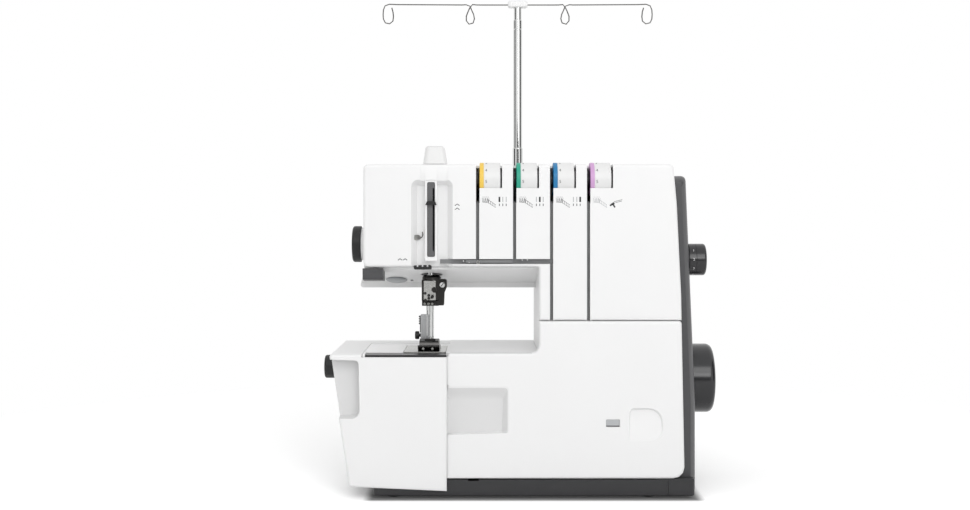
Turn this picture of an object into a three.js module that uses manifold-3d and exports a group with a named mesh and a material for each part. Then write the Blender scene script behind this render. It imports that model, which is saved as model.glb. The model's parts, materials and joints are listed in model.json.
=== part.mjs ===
// A three-needle coverstitch sewing machine: a moulded two-cover front with four thread channels,
// a C-shaped body over a free arm, a slide-on extension table, the stitching mechanism inside,
// and a telescopic thread stand behind. Millimetres, +Z up, the user's side facing -Y.
import * as THREE from "three";
import { mergeVertices } from "three/addons/utils/BufferGeometryUtils.js";
import Module from "manifold-3d";

const wasm = await Module();
wasm.setup();

// ---- Driving sizes ----
const gap = 0.3; // running and seating clearance between two pieces
const wall = 2.5; // thickness of the moulded shells

// Body
const frontY = -130; // plane of the two front covers
const bodyDepth = 155; // from the front covers to the back of the casings
const coverDepth = 14; // how far the covers' side walls reach back
const topZ = 336;
const seamZ = 179.3; // joint between the upper cover and the looper cover
const headBottomZ = 233; // lower edge of the upper cover over the sewing space
const headLeftX = -162;
const pillarX = 14; // inner side of the pillar
const coverTopX = 148.6; // right edge of the covers at the top
const coverSeamX = 157; // and at the joint
const coverFootX = 160; // and at the bottom
const coverFootZ = 21; // lower edge of the looper cover
const casingSplitX = 143.5; // where the side casing takes over from the others
const sideX = 175; // outer face of the side casing
const sideTopX = 165.4;
const sideTopZ = 325;
const sideKneeZ = 97; // above it the side casing leans inwards
const undersideRearZ = 213; // the head's underside falls towards the back
const undersideReach = 95;
const lipDrop = 5.5; // lip behind the sloping underside

// Free arm, bed and extension table
const bedZ = 146;
const armLeftX = -163;
const armBottomZ = 94;
const armDepth = 115;
const bedSplitX = -78; // right end of the extension table
const tableProud = 4; // how far the table's front stands before the covers
const tableTopX = -195.7;
const tableFootX = -175.8;
const tableFootZ = 9;
const tableShort = 6; // the table ends before the casings' back
const gripDepth = 16;

// Base
const footHeight = 3.5;
const baseLeftX = -152.4;
const footRadius = 9;
const footInset = [24, 23]; // feet inside the front and the back of the base

// Thread channels and tension units
const slotX = -49; // left side of the first thread channel
const slotPitch = 37;
const slotWidth = 3.2;
const slotCount = 4;
const slotDepth = 7;
const slotWall = 1.6;
const slotFloorTopZ = 297; // above it the channels open into the tension units
const channelZ = 236; // lower side of the cross channel
const channelHeight = 5;
const channelLeftX = -85.5;
const dialRadius = 17.2;
const dialZ = 320.7;
const dialInset = 16; // dial axis behind the covers' plane
const dialWidth = 21.2;
const dialWindowWidth = 22.9;
const dialWindowZ = 312;
const discRadius = 11;

// Needle bar, presser bar and what they carry
const needleX = -96.7;
const needlePitch = 3.2;
const needleDepth = 45; // behind the covers' plane
const needleTopZ = 192;
const needleLength = 35;
const needleBarRadius = 3.5;
const needleBarTopZ = 306;
const clampTopZ = 223;
const presserX = -97.5;
const presserDepth = 62;
const presserBarRadius = 4;
const presserBarTopZ = 318;
const footTopZ = 157;
const footWidth = 22;
const soleZ = bedZ + gap;

// Take-up recess in the upper cover
const recessLeftX = -113.6;
const recessRightX = -72.5;
const recessTopZ = 320;
const recessDepth = 11;
const takeUpX = -94;
const takeUpSlotWidth = 8;
const takeUpLowZ = 243;
const takeUpHighZ = 318;
const takeUpLeverZ = 297;

// Shafts, knobs and wheel
const shaftBehind = 60; // main shaft before the casings' back
const shaftZ = 111;
const shaftRadius = 5;
const wheelRadius = 36.4;
const wheelOuterX = 201.5;
const wheelWidth = 26.2;
const stitchDialDepth = 60;
const stitchDialZ = 238.6;
const stitchDialRadius = 16.5;
const stitchDialLength = 18.5;
const pressureKnobDepth = 45;
const pressureKnobZ = 255;
const pressureKnobRadius = 18.6;
const pressureKnobLength = 8.8;
const tableKnobDepth = 60;
const tableKnobZ = 127;
const tableKnobRadius = 12;
const tableKnobShown = 11.1; // from the table's left edge to the knob's outer face

// Motor drive
const motorDepth = 78;
const motorZ = 58;
const motorRadius = 27;
const motorLength = 84;
const motorStub = 6; // from the motor's end cap to the belt
const beltX = 120;
const beltWidth = 8;
const beltThickness = 2;
const motorPulleyRadius = 8;
const shaftPulleyRadius = 28;

// Thread stand
const trayZ = 252;
const trayReach = 106;
const trayLeftX = -172;
const trayRightX = 166;
const poleX = -3;
const poleBehind = 25; // pole axis behind the casings
const baseTubeRadius = 5.8;
const middleTubeRadius = 5.1;
const topTubeRadius = 4.4;
const baseTubeLowZ = 206;
const baseTubeTopZ = 361;
const middleTubeTopZ = 506;
const tubeOverlap = 22; // what each tube hides of the next one
const topTubeShown = 14;
const holderHeight = 7;
const holderWidth = 22;
const innerLoopX = 53.7;
const outerLoopX = 146.4;
const wireRadius = 0.75;
const coneBehind = 62; // cone pins behind the casings
const conePinHeight = 74;

// Main frame, lifter and mains inlet, from the casings' back
const frameBehind = 25; // front of the frame's plate
const frameThickness = 8;
const frameWeb = 3; // thickness of the plate in its recess
const frameRim = 24; // from the pillar's edge of the plate to the recess
const armHalf = 13;
const armHeight = 12;
const lifterBehind = 9;
const inletBehind = 24;
const inletZ = 66;
const inletHalf = [14, 10.5];
const switchZ = 40;
const switchHalf = [10, 6];

// ---- Places worked out from them ----
const deep = (distance) => frontY + distance;
const backY = deep(bodyDepth);
const slots = [...Array(slotCount).keys()].map((i) => slotX + i * slotPitch);
const lipZ = undersideRearZ - lipDrop;
const baseFloorZ = footHeight + 3;
const casingFrontY = deep(coverDepth + gap);
const poleY = backY + poleBehind;
const shaftDepth = bodyDepth - shaftBehind;
const holderZ = middleTubeTopZ + topTubeShown;
const motorX = beltX - motorStub - motorLength;
const frameFrontY = backY - frameBehind;
const inletY = backY - inletBehind;
const undersideZ = (y) => headBottomZ + ((undersideRearZ - headBottomZ) * (y - frontY)) / undersideReach;

// ---- Solids ----
function solid(geometry) {
  const bare = geometry.clone();
  for (const name of Object.keys(bare.attributes)) if (name !== "position") bare.deleteAttribute(name);
  const merged = mergeVertices(bare, 1e-4);
  const corners = merged.index.array;
  const kept = [];
  for (let i = 0; i < corners.length; i += 3) {
    const [a, b, c] = [corners[i], corners[i + 1], corners[i + 2]];
    if (a !== b && b !== c && a !== c) kept.push(a, b, c);
  }
  const vertProperties = merged.attributes.position.array;
  const make = (list) =>
    new wasm.Manifold(new wasm.Mesh({ numProp: 3, vertProperties, triVerts: new Uint32Array(list) }));
  const made = make(kept);
  return made.volume() > 0 ? made : make(kept.reverse());
}

const join = (first, ...others) => others.reduce((sum, other) => sum.add(other), first);
const cut = (first, ...others) => others.reduce((rest, other) => rest.subtract(other), first);

// A box between two corners, given as pairs along X, Y and Z.
function block([x0, x1], [y0, y1], [z0, z1]) {
  const box = new THREE.BoxGeometry(x1 - x0, y1 - y0, z1 - z0);
  return solid(box.translate((x0 + x1) / 2, (y0 + y1) / 2, (z0 + z1) / 2));
}

// Corners are [u, v, radius]. Each edge moves inwards by the distance, and a rounded corner keeps its centre.
function inset(corners, distance) {
  const n = corners.length;
  const area = corners.reduce((sum, [u, v], i) => {
    const [p, q] = corners[(i + 1) % n];
    return sum + u * q - p * v;
  }, 0);
  const side = Math.sign(area);
  return corners.map(([u, v, radius = 0], i) => {
    const before = corners[(i + n - 1) % n];
    const after = corners[(i + 1) % n];
    const a = new THREE.Vector2(u - before[0], v - before[1]).normalize();
    const b = new THREE.Vector2(after[0] - u, after[1] - v).normalize();
    const shift = (distance * side) / (1 + a.dot(b));
    const moved = [u - shift * (a.y + b.y), v + shift * (a.x + b.x)];
    const outward = a.cross(b) * side > 0;
    return [...moved, radius ? Math.max(outward ? radius - distance : radius + distance, 0.2) : 0];
  });
}

// The corners' points, each rounded corner as an arc of a few steps.
function rounded(corners, steps = 4) {
  const n = corners.length;
  const points = [];
  corners.forEach(([u, v, radius = 0], i) => {
    const here = new THREE.Vector2(u, v);
    if (!radius) {
      points.push(here);
      return;
    }
    const before = corners[(i + n - 1) % n];
    const after = corners[(i + 1) % n];
    const a = new THREE.Vector2(before[0], before[1]).sub(here);
    const b = new THREE.Vector2(after[0], after[1]).sub(here);
    const most = Math.min(a.length(), b.length()) * 0.49;
    a.normalize();
    b.normalize();
    const half = Math.acos(THREE.MathUtils.clamp(a.dot(b), -1, 1)) / 2;
    const reach = Math.min(radius / Math.tan(half), most);
    const r = reach * Math.tan(half);
    const centre = here.clone().add(a.clone().add(b).normalize().multiplyScalar(r / Math.sin(half)));
    const from = here.clone().addScaledVector(a, reach).sub(centre);
    const to = here.clone().addScaledVector(b, reach).sub(centre);
    const sweep = Math.atan2(from.cross(to), from.dot(to));
    for (let k = 0; k <= steps; k += 1)
      points.push(from.clone().rotateAround(new THREE.Vector2(), (sweep * k) / steps).add(centre));
  });
  return points;
}

const place = {
  x: (u, v, w) => [w, u, v],
  y: (u, v, w) => [u, w, v],
  z: (u, v, w) => [u, v, w],
};

// A closed body through loops of as many points each, every loop at its station along the axis.
function loft(axis, loops) {
  const turnedBack = THREE.ShapeUtils.isClockWise(loops[0][1]);
  const rings = loops.map(([at, points]) => [at, turnedBack ? [...points].reverse() : points]);
  const count = rings[0][1].length;
  const positions = rings.flatMap(([at, points]) => points.flatMap((p) => place[axis](p.x, p.y, at)));
  const faces = [];
  for (let k = 0; k + 1 < rings.length; k += 1)
    for (let i = 0; i < count; i += 1) {
      const a = k * count + i;
      const b = k * count + ((i + 1) % count);
      faces.push(a, b, b + count, a, b + count, a + count);
    }
  const last = (rings.length - 1) * count;
  const lid = (points) => THREE.ShapeUtils.triangulateShape(points, []);
  lid(rings[0][1]).forEach(([a, b, c]) => faces.push(c, b, a));
  lid(rings.at(-1)[1]).forEach(([a, b, c]) => faces.push(a + last, b + last, c + last));
  const geometry = new THREE.BufferGeometry();
  geometry.setAttribute("position", new THREE.Float32BufferAttribute(positions, 3));
  geometry.setIndex(faces);
  return solid(geometry);
}

// An outline carried along an axis, straight.
const prism = (axis, corners, from, to, steps) =>
  loft(axis, [
    [from, rounded(corners, steps)],
    [to, rounded(corners, steps)],
  ]);

// An outline carried along an axis, with its edges drawn in at given stations: [place, distance].
const moulded = (axis, corners, stations, steps) =>
  loft(
    axis,
    stations.map(([at, distance]) => [at, rounded(inset(corners, distance), steps)]),
  );

// Stations that round the edge of a moulding over a radius, from its face inwards.
const softEdge = (face, radius, direction = 1) =>
  [0, 1, 2].map((k) => {
    const angle = (k * Math.PI) / 4;
    return [face + direction * radius * (1 - Math.cos(angle)) , radius * (1 - Math.sin(angle))];
  });

// A turned body: profile of [radius, place] along the axis through a centre given as the other two
// coordinates.
function turned(axis, [u, v], profile, sides = 24) {
  const lathe = new THREE.LatheGeometry(
    profile.map(([r, at]) => new THREE.Vector2(r, at)),
    sides,
  );
  if (axis === "x") lathe.rotateZ(-Math.PI / 2).translate(0, u, v);
  if (axis === "y") lathe.translate(u, 0, v);
  if (axis === "z") lathe.rotateX(Math.PI / 2).translate(u, v, 0);
  return solid(lathe);
}

const rod = (axis, centre, radius, from, to, sides = 16) =>
  turned(axis, centre, [[0, from], [radius, from], [radius, to], [0, to]], sides);

// A round bar along a curve through points, or along the given curve.
function bent(curve, radius, steps, sides = 8) {
  const section = new THREE.Shape(
    [...Array(sides).keys()].map((i) => {
      const angle = (2 * Math.PI * i) / sides;
      return new THREE.Vector2(radius * Math.cos(angle), radius * Math.sin(angle));
    }),
  );
  return solid(new THREE.ExtrudeGeometry(
    section,
    { steps, extrudePath: curve, bevelEnabled: false, curveSegments: 1 },
  ));
}

const rectangle = (u0, u1, v0, v1, radius = 0) => [
  [u0, v0, radius],
  [u1, v0, radius],
  [u1, v1, radius],
  [u0, v1, radius],
];

const widen = ([a, b], by) => [a - by, b + by];

// ---- Finishes ----
const finish = (
  color,
  roughness,
  metalness = 0,
) => new THREE.MeshStandardMaterial({ color, roughness, metalness });
const whitePlastic = finish(0xf1f2f2, 0.45);
const darkPlastic = finish(0x3a3a3b, 0.5);
const greyPlastic = finish(0x5f6061, 0.5);
const paleInsert = finish(0xe4e5e6, 0.45);
const blackPlastic = finish(0x141415, 0.5);
const chrome = finish(0xc9ccd0, 0.15, 1);
const steel = finish(0x9a9c9e, 0.35, 1);
const castAlloy = finish(0xa4a7aa, 0.55, 0.8);
const darkRubber = finish(0x1d1d1e, 0.85);
const clearLens = finish(0x9ba0a4, 0.1);

const machine = new THREE.Group();

function part(name, body, material) {
  const mesh = body.getMesh();
  const geometry = new THREE.BufferGeometry();
  geometry.setAttribute("position", new THREE.BufferAttribute(mesh.vertProperties, 3));
  geometry.setIndex(new THREE.BufferAttribute(mesh.triVerts, 1));
  geometry.computeVertexNormals();
  const made = new THREE.Mesh(geometry, material);
  made.name = name;
  machine.add(made);
  return made;
}

// ---- Outlines of the body, seen from the front ----
const coverRightEdge = [
  [coverSeamX, seamZ + gap],
  [coverSeamX - 0.4, seamZ + 25, 60],
  [THREE.MathUtils.lerp(coverTopX, coverSeamX, 0.42), seamZ + 0.75 * (topZ - seamZ), 60],
  [coverTopX, topZ, 4],
];
const upperOutline = [
  [headLeftX, headBottomZ, 5],
  [pillarX, headBottomZ, 2],
  [pillarX, seamZ + gap, 1],
  ...coverRightEdge,
  [headLeftX, topZ, 5],
];
const looperCoverOutline = [
  [bedSplitX + gap, coverFootZ],
  [coverFootX, coverFootZ, 11],
  [coverFootX - 0.8, coverFootZ + 57, 60],
  [coverSeamX, seamZ - gap, 3],
  [pillarX, seamZ - gap, 1],
  [pillarX, bedZ + 1, 7],
  [bedSplitX + gap, bedZ + 1, 3],
];

// ---- Front covers ----
const coverShell = (outline, depth) =>
  cut(
    moulded("y", outline, [...softEdge(frontY, 3), [deep(depth), 0]], 3),
    moulded("y", outline, [[deep(wall), wall], [deep(depth) + 1, wall]], 3),
  );

// The thread channels, opening into the tension units above slotFloorTopZ, and the cross channel.
const runsToSeam = (i) => i > 1;
const slotLowZ = (i) => (runsToSeam(i) ? seamZ + gap : channelZ);
const channelRightX = slots[2] + slotWidth;
const dialLeft = (i) => slots[i] + slotWidth + gap;

function upperCover() {
  const channelWalls = slots.map((x, i) =>
    block(
      [x - slotWall, x + slotWidth + slotWall],
      [deep(1), deep(slotDepth + slotWall)],
      [slotLowZ(i) - (runsToSeam(i) ? 0 : slotWall), slotFloorTopZ + slotWall],
    ),
  );
  const channels = slots.map((x, i) =>
    block(
      [x, x + slotWidth],
      [deep(-1), deep(slotDepth)],
      [slotLowZ(i) - (runsToSeam(i) ? 1 : 0), slotFloorTopZ + slotWall + 1],
    ),
  );
  const crossWalls = block(
    [channelLeftX - slotWall, slots[3] + slotWidth],
    [deep(1), deep(slotDepth + slotWall)],
    [channelZ - slotWall, channelZ + channelHeight + slotWall],
  );
  const crossZ = [channelZ, channelZ + channelHeight];
  const cross = block([channelLeftX, channelRightX], [deep(-1), deep(slotDepth)], crossZ);
  const tunnel = block([channelRightX - 1, slots[3] + 1], [deep(wall), deep(slotDepth)], crossZ);
  const windows = slots.flatMap((x, i) => [
    block([x, x + slotWidth + gap], [deep(-1), deep(coverDepth + 1)], [slotFloorTopZ, topZ + 2]),
    block([x, x + slotWidth + dialWindowWidth], [deep(-1), deep(coverDepth + 1)], [dialWindowZ, topZ + 2]),
    rod(
      "x",
      [deep(dialInset), dialZ],
      dialRadius + gap,
      x + slotWidth,
      x + slotWidth + dialWindowWidth,
      32,
    ),
  ]);
  const shell = join(coverShell(upperOutline, coverDepth), crossWalls, ...channelWalls, takeUpHousing());
  return cut(shell, cross, tunnel, ...channels, ...windows, ...takeUpOpenings());
}

// The looper cover has a finger pocket open to the table, a thumb dish and a sight window, and swings on its
// lower edge, where its bottom wall is notched for the two arms of the hinge.
const hingeY = deep(4);
const hingeZ = coverFootZ + 4;
const hingeRadius = 1.3;
const hingeArms = [bedSplitX + 28, casingSplitX - 42];
const hingeArmWidth = 8;
const pocketDepth = 8;
const thumbDepth = 3.4;
const sightDepth = 1.4;
const pocketWidth = 62;
const pocketLowZ = coverFootZ + 43.8;
const pocketHighZ = coverFootZ + 93.5;

// Each loop of the pocket: its depth, how far its right side has moved in, and how far its top has come down.
const pocketLoops = [
  [-1, -1, -1],
  [0, 0, 0],
  [1, 1.4, 2.6],
  [3, 3.2, 6.6],
  [5.5, 5, 10.6],
  [6.5, 5.8, 15],
  [pocketDepth, 7, 44],
];
function pocketLoop([depth, right, down]) {
  const side = bedSplitX + pocketWidth - right;
  return [deep(depth), rounded([
    [bedSplitX - 10, pocketLowZ],
    [side, pocketLowZ + 2, 2],
    [side, pocketHighZ - down, 3],
    [bedSplitX - 10, pocketHighZ - down],
  ], 4)];
}

function looperCover() {
  const pocketBack = rectangle(bedSplitX - 10, bedSplitX + pocketWidth, pocketLowZ, pocketHighZ, 3);
  const thumb = [
    [coverFootX - 56, coverFootZ + 38, 2],
    [coverFootX - 22, coverFootZ + 38, 12],
    [coverFootX - 22, coverFootZ + 71, 14],
    [coverFootX - 56, coverFootZ + 71, 6],
  ];
  const thumbFall = [
    [deep(-2), coverFootZ + 36],
    [deep(0), coverFootZ + 36],
    [deep(thumbDepth), coverFootZ + 66],
    [deep(thumbDepth), coverFootZ + 80],
    [deep(-2), coverFootZ + 80],
  ];
  const sightX = coverFootX - 79;
  const sight = rectangle(sightX, sightX + 14, coverFootZ + 52, coverFootZ + 59.5, 0.8);
  const outer = moulded("y", looperCoverOutline, [...softEdge(frontY, 3), [deep(coverDepth), 0]], 3);
  const backing = (outline, depth, spread = wall) =>
    prism("y", inset(outline, -spread), deep(1), deep(depth + wall), 3).intersect(outer);
  const notches = hingeArms.map((x) =>
    block(
      [x - gap, x + hingeArmWidth + gap],
      [deep(wall + 0.2), deep(coverDepth + 1)],
      [coverFootZ - 1, hingeZ + 4],
    ),
  );
  return cut(
    join(
      coverShell(looperCoverOutline, coverDepth),
      backing(pocketBack, pocketDepth),
      backing(thumb, thumbDepth, 0),
    ),
    loft("y", pocketLoops.map(pocketLoop)),
    moulded("y", thumb, [[deep(-1), -0.4], [deep(1), 0.6], [deep(thumbDepth), 2]], 5).intersect(
      prism("x", thumbFall, coverFootX - 60, coverFootX - 20),
    ),
    prism("y", sight, deep(-1), deep(sightDepth), 2),
    ...notches,
    block(
      [bedSplitX - 1, coverFootX + 1],
      [deep(coverDepth - 0.9), deep(coverDepth + 1)],
      [coverFootZ - 1, hingeZ],
    ),
    block(
      [bedSplitX - 1, bedSplitX + wall + gap],
      [deep(6), deep(coverDepth + 1)],
      [armBottomZ - 6, bedZ + 2],
    ),
  );
}

// The hinge rod with two arms that reach over the base's front wall and stand on its floor.
function coverHinge() {
  const pin = rod(
    "x",
    [hingeY, hingeZ],
    hingeRadius,
    hingeArms[0] - 12,
    hingeArms[1] + hingeArmWidth + 12,
    12,
  );
  const arms = hingeArms.map((x) =>
    prism("x", [
      [hingeY - 1.2, hingeZ - 1.1, 1],
      [deep(20), hingeZ - 1.1],
      [deep(20), baseFloorZ + gap],
      [deep(27), baseFloorZ + gap, 1],
      [deep(27), hingeZ + 3, 4],
      [hingeY + 2, hingeZ + 3, 2],
      [hingeY - 1.2, hingeZ + 1.3, 1],
    ], x, x + hingeArmWidth, 2),
  );
  return join(pin, ...arms);
}

// The take-up recess: a drafted pocket open at the bottom, with a rib down its middle that holds the guide.
const recessOutline = [
  [recessLeftX, headBottomZ - 4],
  [recessRightX, headBottomZ - 4],
  [recessRightX, recessTopZ, 6],
  [recessLeftX, recessTopZ, 6],
];
const ribHalf = takeUpSlotWidth / 2 + 2;
const ribFace = 1.5;

// Over the recess the cover's face falls away to both sides of the rib.
const shoulderTopZ = topZ - 2;
const shoulderDepth = 2.2;
const shoulderX = [recessLeftX + 8.9, recessRightX - 4.7];

const takeUpHousing = () =>
  join(
    block(
      [recessLeftX - 0.5, recessRightX + 0.5],
      [deep(1), deep(recessDepth + wall)],
      [headBottomZ + 1, recessTopZ + 0.5],
    ),
    block(widen(shoulderX, 1), [deep(1), deep(shoulderDepth + wall)], [recessTopZ - 1, shoulderTopZ]),
  );

function takeUpOpenings() {
  const pocket = cut(
    moulded("y", recessOutline, [[deep(-1), -0.6], [deep(2), 0.6], [deep(recessDepth), 5]], 4),
    prism(
      "y",
      rectangle(takeUpX - ribHalf, takeUpX + ribHalf, headBottomZ + 6, topZ, 1),
      deep(ribFace),
      deep(recessDepth + 1),
    ),
  );
  const slot = prism(
    "y",
    rectangle(takeUpX - takeUpSlotWidth / 2, takeUpX + takeUpSlotWidth / 2, takeUpLowZ, takeUpHighZ, 1.5),
    deep(-1),
    deep(coverDepth + 1),
    2,
  );
  const fall = [
    [deep(-1), shoulderTopZ],
    [deep(0), shoulderTopZ],
    [deep(shoulderDepth), recessTopZ - 3],
    [deep(-1), recessTopZ - 3],
  ];
  const rib = block(
    [takeUpX - ribHalf, takeUpX + ribHalf],
    [deep(-2), deep(shoulderDepth + 1)],
    [recessTopZ - 4, topZ],
  );
  return [pocket, slot, cut(prism("x", fall, ...shoulderX), rib)];
}

// Dark floors laid in the channels, with the thread guide bar standing in the cross channel.
const linerY = [deep(slotDepth - 1.5), deep(slotDepth - gap)];
const linerStrip = (i) =>
  block(
    [slots[i] + gap, slots[i] + slotWidth - gap],
    linerY,
    [slotLowZ(i) + gap, slotFloorTopZ + slotWall],
  );

function channelLiner() {
  const crossStrip = block(
    [channelLeftX + gap, slots[3] + slotWidth - gap],
    linerY,
    [channelZ + gap, channelZ + channelHeight - gap],
  );
  const barZ = [channelZ + 0.9, channelZ + channelHeight - 0.9];
  const bar = block([slots[0] - 10.3, slots[1] - 0.3], [deep(1.2), deep(3.6)], barZ);
  const posts = [slots[0] - 8, slots[1] - 4].map((x) => block(
    [x, x + 2.4],
    [deep(3), deep(slotDepth - 1)],
    barZ,
  ));
  return join(crossStrip, ...slots.map((x, i) => linerStrip(i)), bar, ...posts);
}

// Guide for the take-up lever: a plate with a long slot, and a toothed thread guide at its foot.
const guideFace = ribFace + 0.4;
const leverX = [takeUpX + 1.9, takeUpX + 2.7];

function takeUpGuide() {
  const half = takeUpSlotWidth / 2 - gap;
  const plate = prism(
    "y",
    rectangle(takeUpX - half, takeUpX + half, takeUpLowZ + gap, takeUpHighZ - gap, 1.2),
    deep(guideFace),
    deep(guideFace + 2.2),
    2,
  );
  const run = prism(
    "y",
    rectangle(...widen(leverX, gap), takeUpLowZ + 6, takeUpHighZ - 6, 0.6),
    deep(guideFace - 1),
    deep(guideFace + 4),
    3,
  );
  return cut(plate, run);
}

function headThreadGuide() {
  const left = recessLeftX + 2.2;
  const width = 18;
  const bar = prism(
    "y",
    [
      [left, headBottomZ - 2.6, 1.5],
      [left + width, headBottomZ - 2.6, 1],
      [left + width, headBottomZ + 2.2, 2],
      [left, headBottomZ + 1.6, 1],
    ],
    deep(1.5),
    deep(4.5),
    2,
  );
  const notches = [0, 1, 2].map((i) => {
    const x = left + 3 + 5 * i;
    return block([x, x + 1.6], [deep(1), deep(5)], [headBottomZ, headBottomZ + 4]);
  });
  return cut(bar, ...notches);
}

part("upper_front_cover", upperCover(), whitePlastic);
part("thread_channel_liner", channelLiner(), darkPlastic);
part("take_up_guide", takeUpGuide(), greyPlastic);
part("head_thread_guide", headThreadGuide(), blackPlastic);

// ---- Pieces on the head ----
function takeUpHood() {
  const foot = rectangle(takeUpX - 8.3, takeUpX + 15.8, deep(3), deep(36), 5);
  const crown = rectangle(takeUpX - 6, takeUpX + 13, deep(6), deep(32), 5);
  const outer = loft("z", [
    [topZ + gap, rounded(foot)],
    [topZ + 16.8, rounded(crown)],
    [topZ + 18.3, rounded(inset(crown, 1.5))],
  ]);
  const inner = loft("z", [
    [topZ, rounded(inset(foot, wall))],
    [topZ + 16, rounded(inset(crown, wall))],
  ]);
  return cut(outer, inner);
}

function takeUpLever() {
  const blade = prism(
    "y",
    [
      [takeUpX - 5.7, takeUpLeverZ - 1.9],
      [takeUpX + 5.7, takeUpLeverZ - 1.9],
      [takeUpX + 3.9, takeUpLeverZ + 1.9, 0.8],
      [takeUpX - 3.9, takeUpLeverZ + 1.9, 0.8],
    ],
    deep(-1.6),
    deep(ribFace - 0.2),
    2,
  );
  const stem = block(leverX, [deep(0), deep(26)], [takeUpLeverZ - 1.6, takeUpLeverZ + 1.6]);
  const slider = prism(
    "x",
    rectangle(deep(20), deep(26), takeUpLeverZ - 18, takeUpLeverZ + 8, 2),
    ...leverX,
    2,
  );
  return join(blade, stem, slider);
}

// Holder of the cutting blade, hung under the left end of the sloping underside.
const cutterLeft = headLeftX - 1;
const cutterRight = headLeftX + 19.7;
function threadCutter() {
  const side = [
    [deep(5), undersideZ(deep(5)) - gap, 0.6],
    [deep(6), headBottomZ - 13, 4],
    [deep(30), headBottomZ - 15.6, 2],
    [deep(30), undersideZ(deep(30)) - gap],
  ];
  const blade = block(
    [cutterLeft + 6, cutterLeft + 6.8],
    [deep(12), deep(40)],
    [headBottomZ - 12, headBottomZ - 14 + 4],
  );
  return join(prism("x", side, cutterLeft, cutterRight, 3), blade);
}

const lensX = headLeftX + 28.8;
function lampLens() {
  const y = deep(75);
  const slope = Math.atan2(undersideRearZ - headBottomZ, undersideReach);
  const dome = new THREE.SphereGeometry(1, 18, 10).scale(11.4, 17, 2.4).rotateX(slope);
  const above = new THREE.BoxGeometry(40, 60, 20).translate(0, 0, 10).rotateX(slope);
  const [lens, casing] = [dome, above].map((shape) => solid(
    shape.translate(lensX, y, undersideZ(y) - gap),
  ));
  return cut(lens, casing);
}

part("take_up_hood", takeUpHood(), paleInsert);
part("take_up_lever", takeUpLever(), blackPlastic);
part("thread_cutter", threadCutter(), greyPlastic);
part("lamp_lens", lampLens(), clearLens);

// ---- Tension units ----
// Each has a numbered thumb wheel, a pair of sprung discs in its channel and a stud on a common plate.
const dialY = deep(dialInset);
const studRadius = 2.4;
const tensionPlateY = deep(2 * dialInset + 5);

function tensionDial(i) {
  const left = dialLeft(i);
  const right = left + dialWidth - gap;
  const ring = (r) => [
    [studRadius + gap, left],
    [r - 0.5, left],
    [r, left + 0.5],
    [r, right - 0.5],
    [r - 0.5, right],
    [studRadius + gap, right],
    [studRadius + gap, left],
  ];
  return turned("x", [dialY, dialZ], ring(dialRadius), 32);
}

function tensionDiscs(i) {
  const left = slots[i] + 0.35;
  const right = slots[i] + slotWidth - 0.35;
  const middle = (left + right) / 2;
  const bore = studRadius + gap;
  return turned(
    "x",
    [dialY, dialZ],
    [
      [bore, left],
      [discRadius - 2, left],
      [discRadius, left + 0.1],
      [discRadius, left + 0.6],
      [discRadius - 3, middle - 0.3],
      [discRadius - 3, middle + 0.3],
      [discRadius, right - 0.6],
      [discRadius, right - 0.1],
      [discRadius - 2, right],
      [bore, right],
      [bore, left],
    ],
    18,
  );
}

function tensionUnits() {
  const first = slots[0] - 5;
  const last = slots[slotCount - 1] + slotWidth + dialWindowWidth + 4;
  const plate = block([first, last], [tensionPlateY, tensionPlateY + 2], [dialZ - 15, dialZ + 9]);
  const ears = slots.map((x) =>
    prism("x", rectangle(dialY - 5, tensionPlateY + 1, dialZ - 5, dialZ + 5, 4), x - 4.4, x - 1.9, 3),
  );
  const studs = slots.map((x) => rod(
    "x",
    [dialY, dialZ],
    studRadius,
    x - 3,
    x + slotWidth + dialWidth - 1,
    14,
  ));
  const legs = [first + 1, last - 7].map((x) =>
    block([x, x + 6], [tensionPlateY + 1, frameFrontY + 1], [dialZ - 14, dialZ - 4]),
  );
  return join(plate, ...ears, ...studs, ...legs);
}

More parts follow.
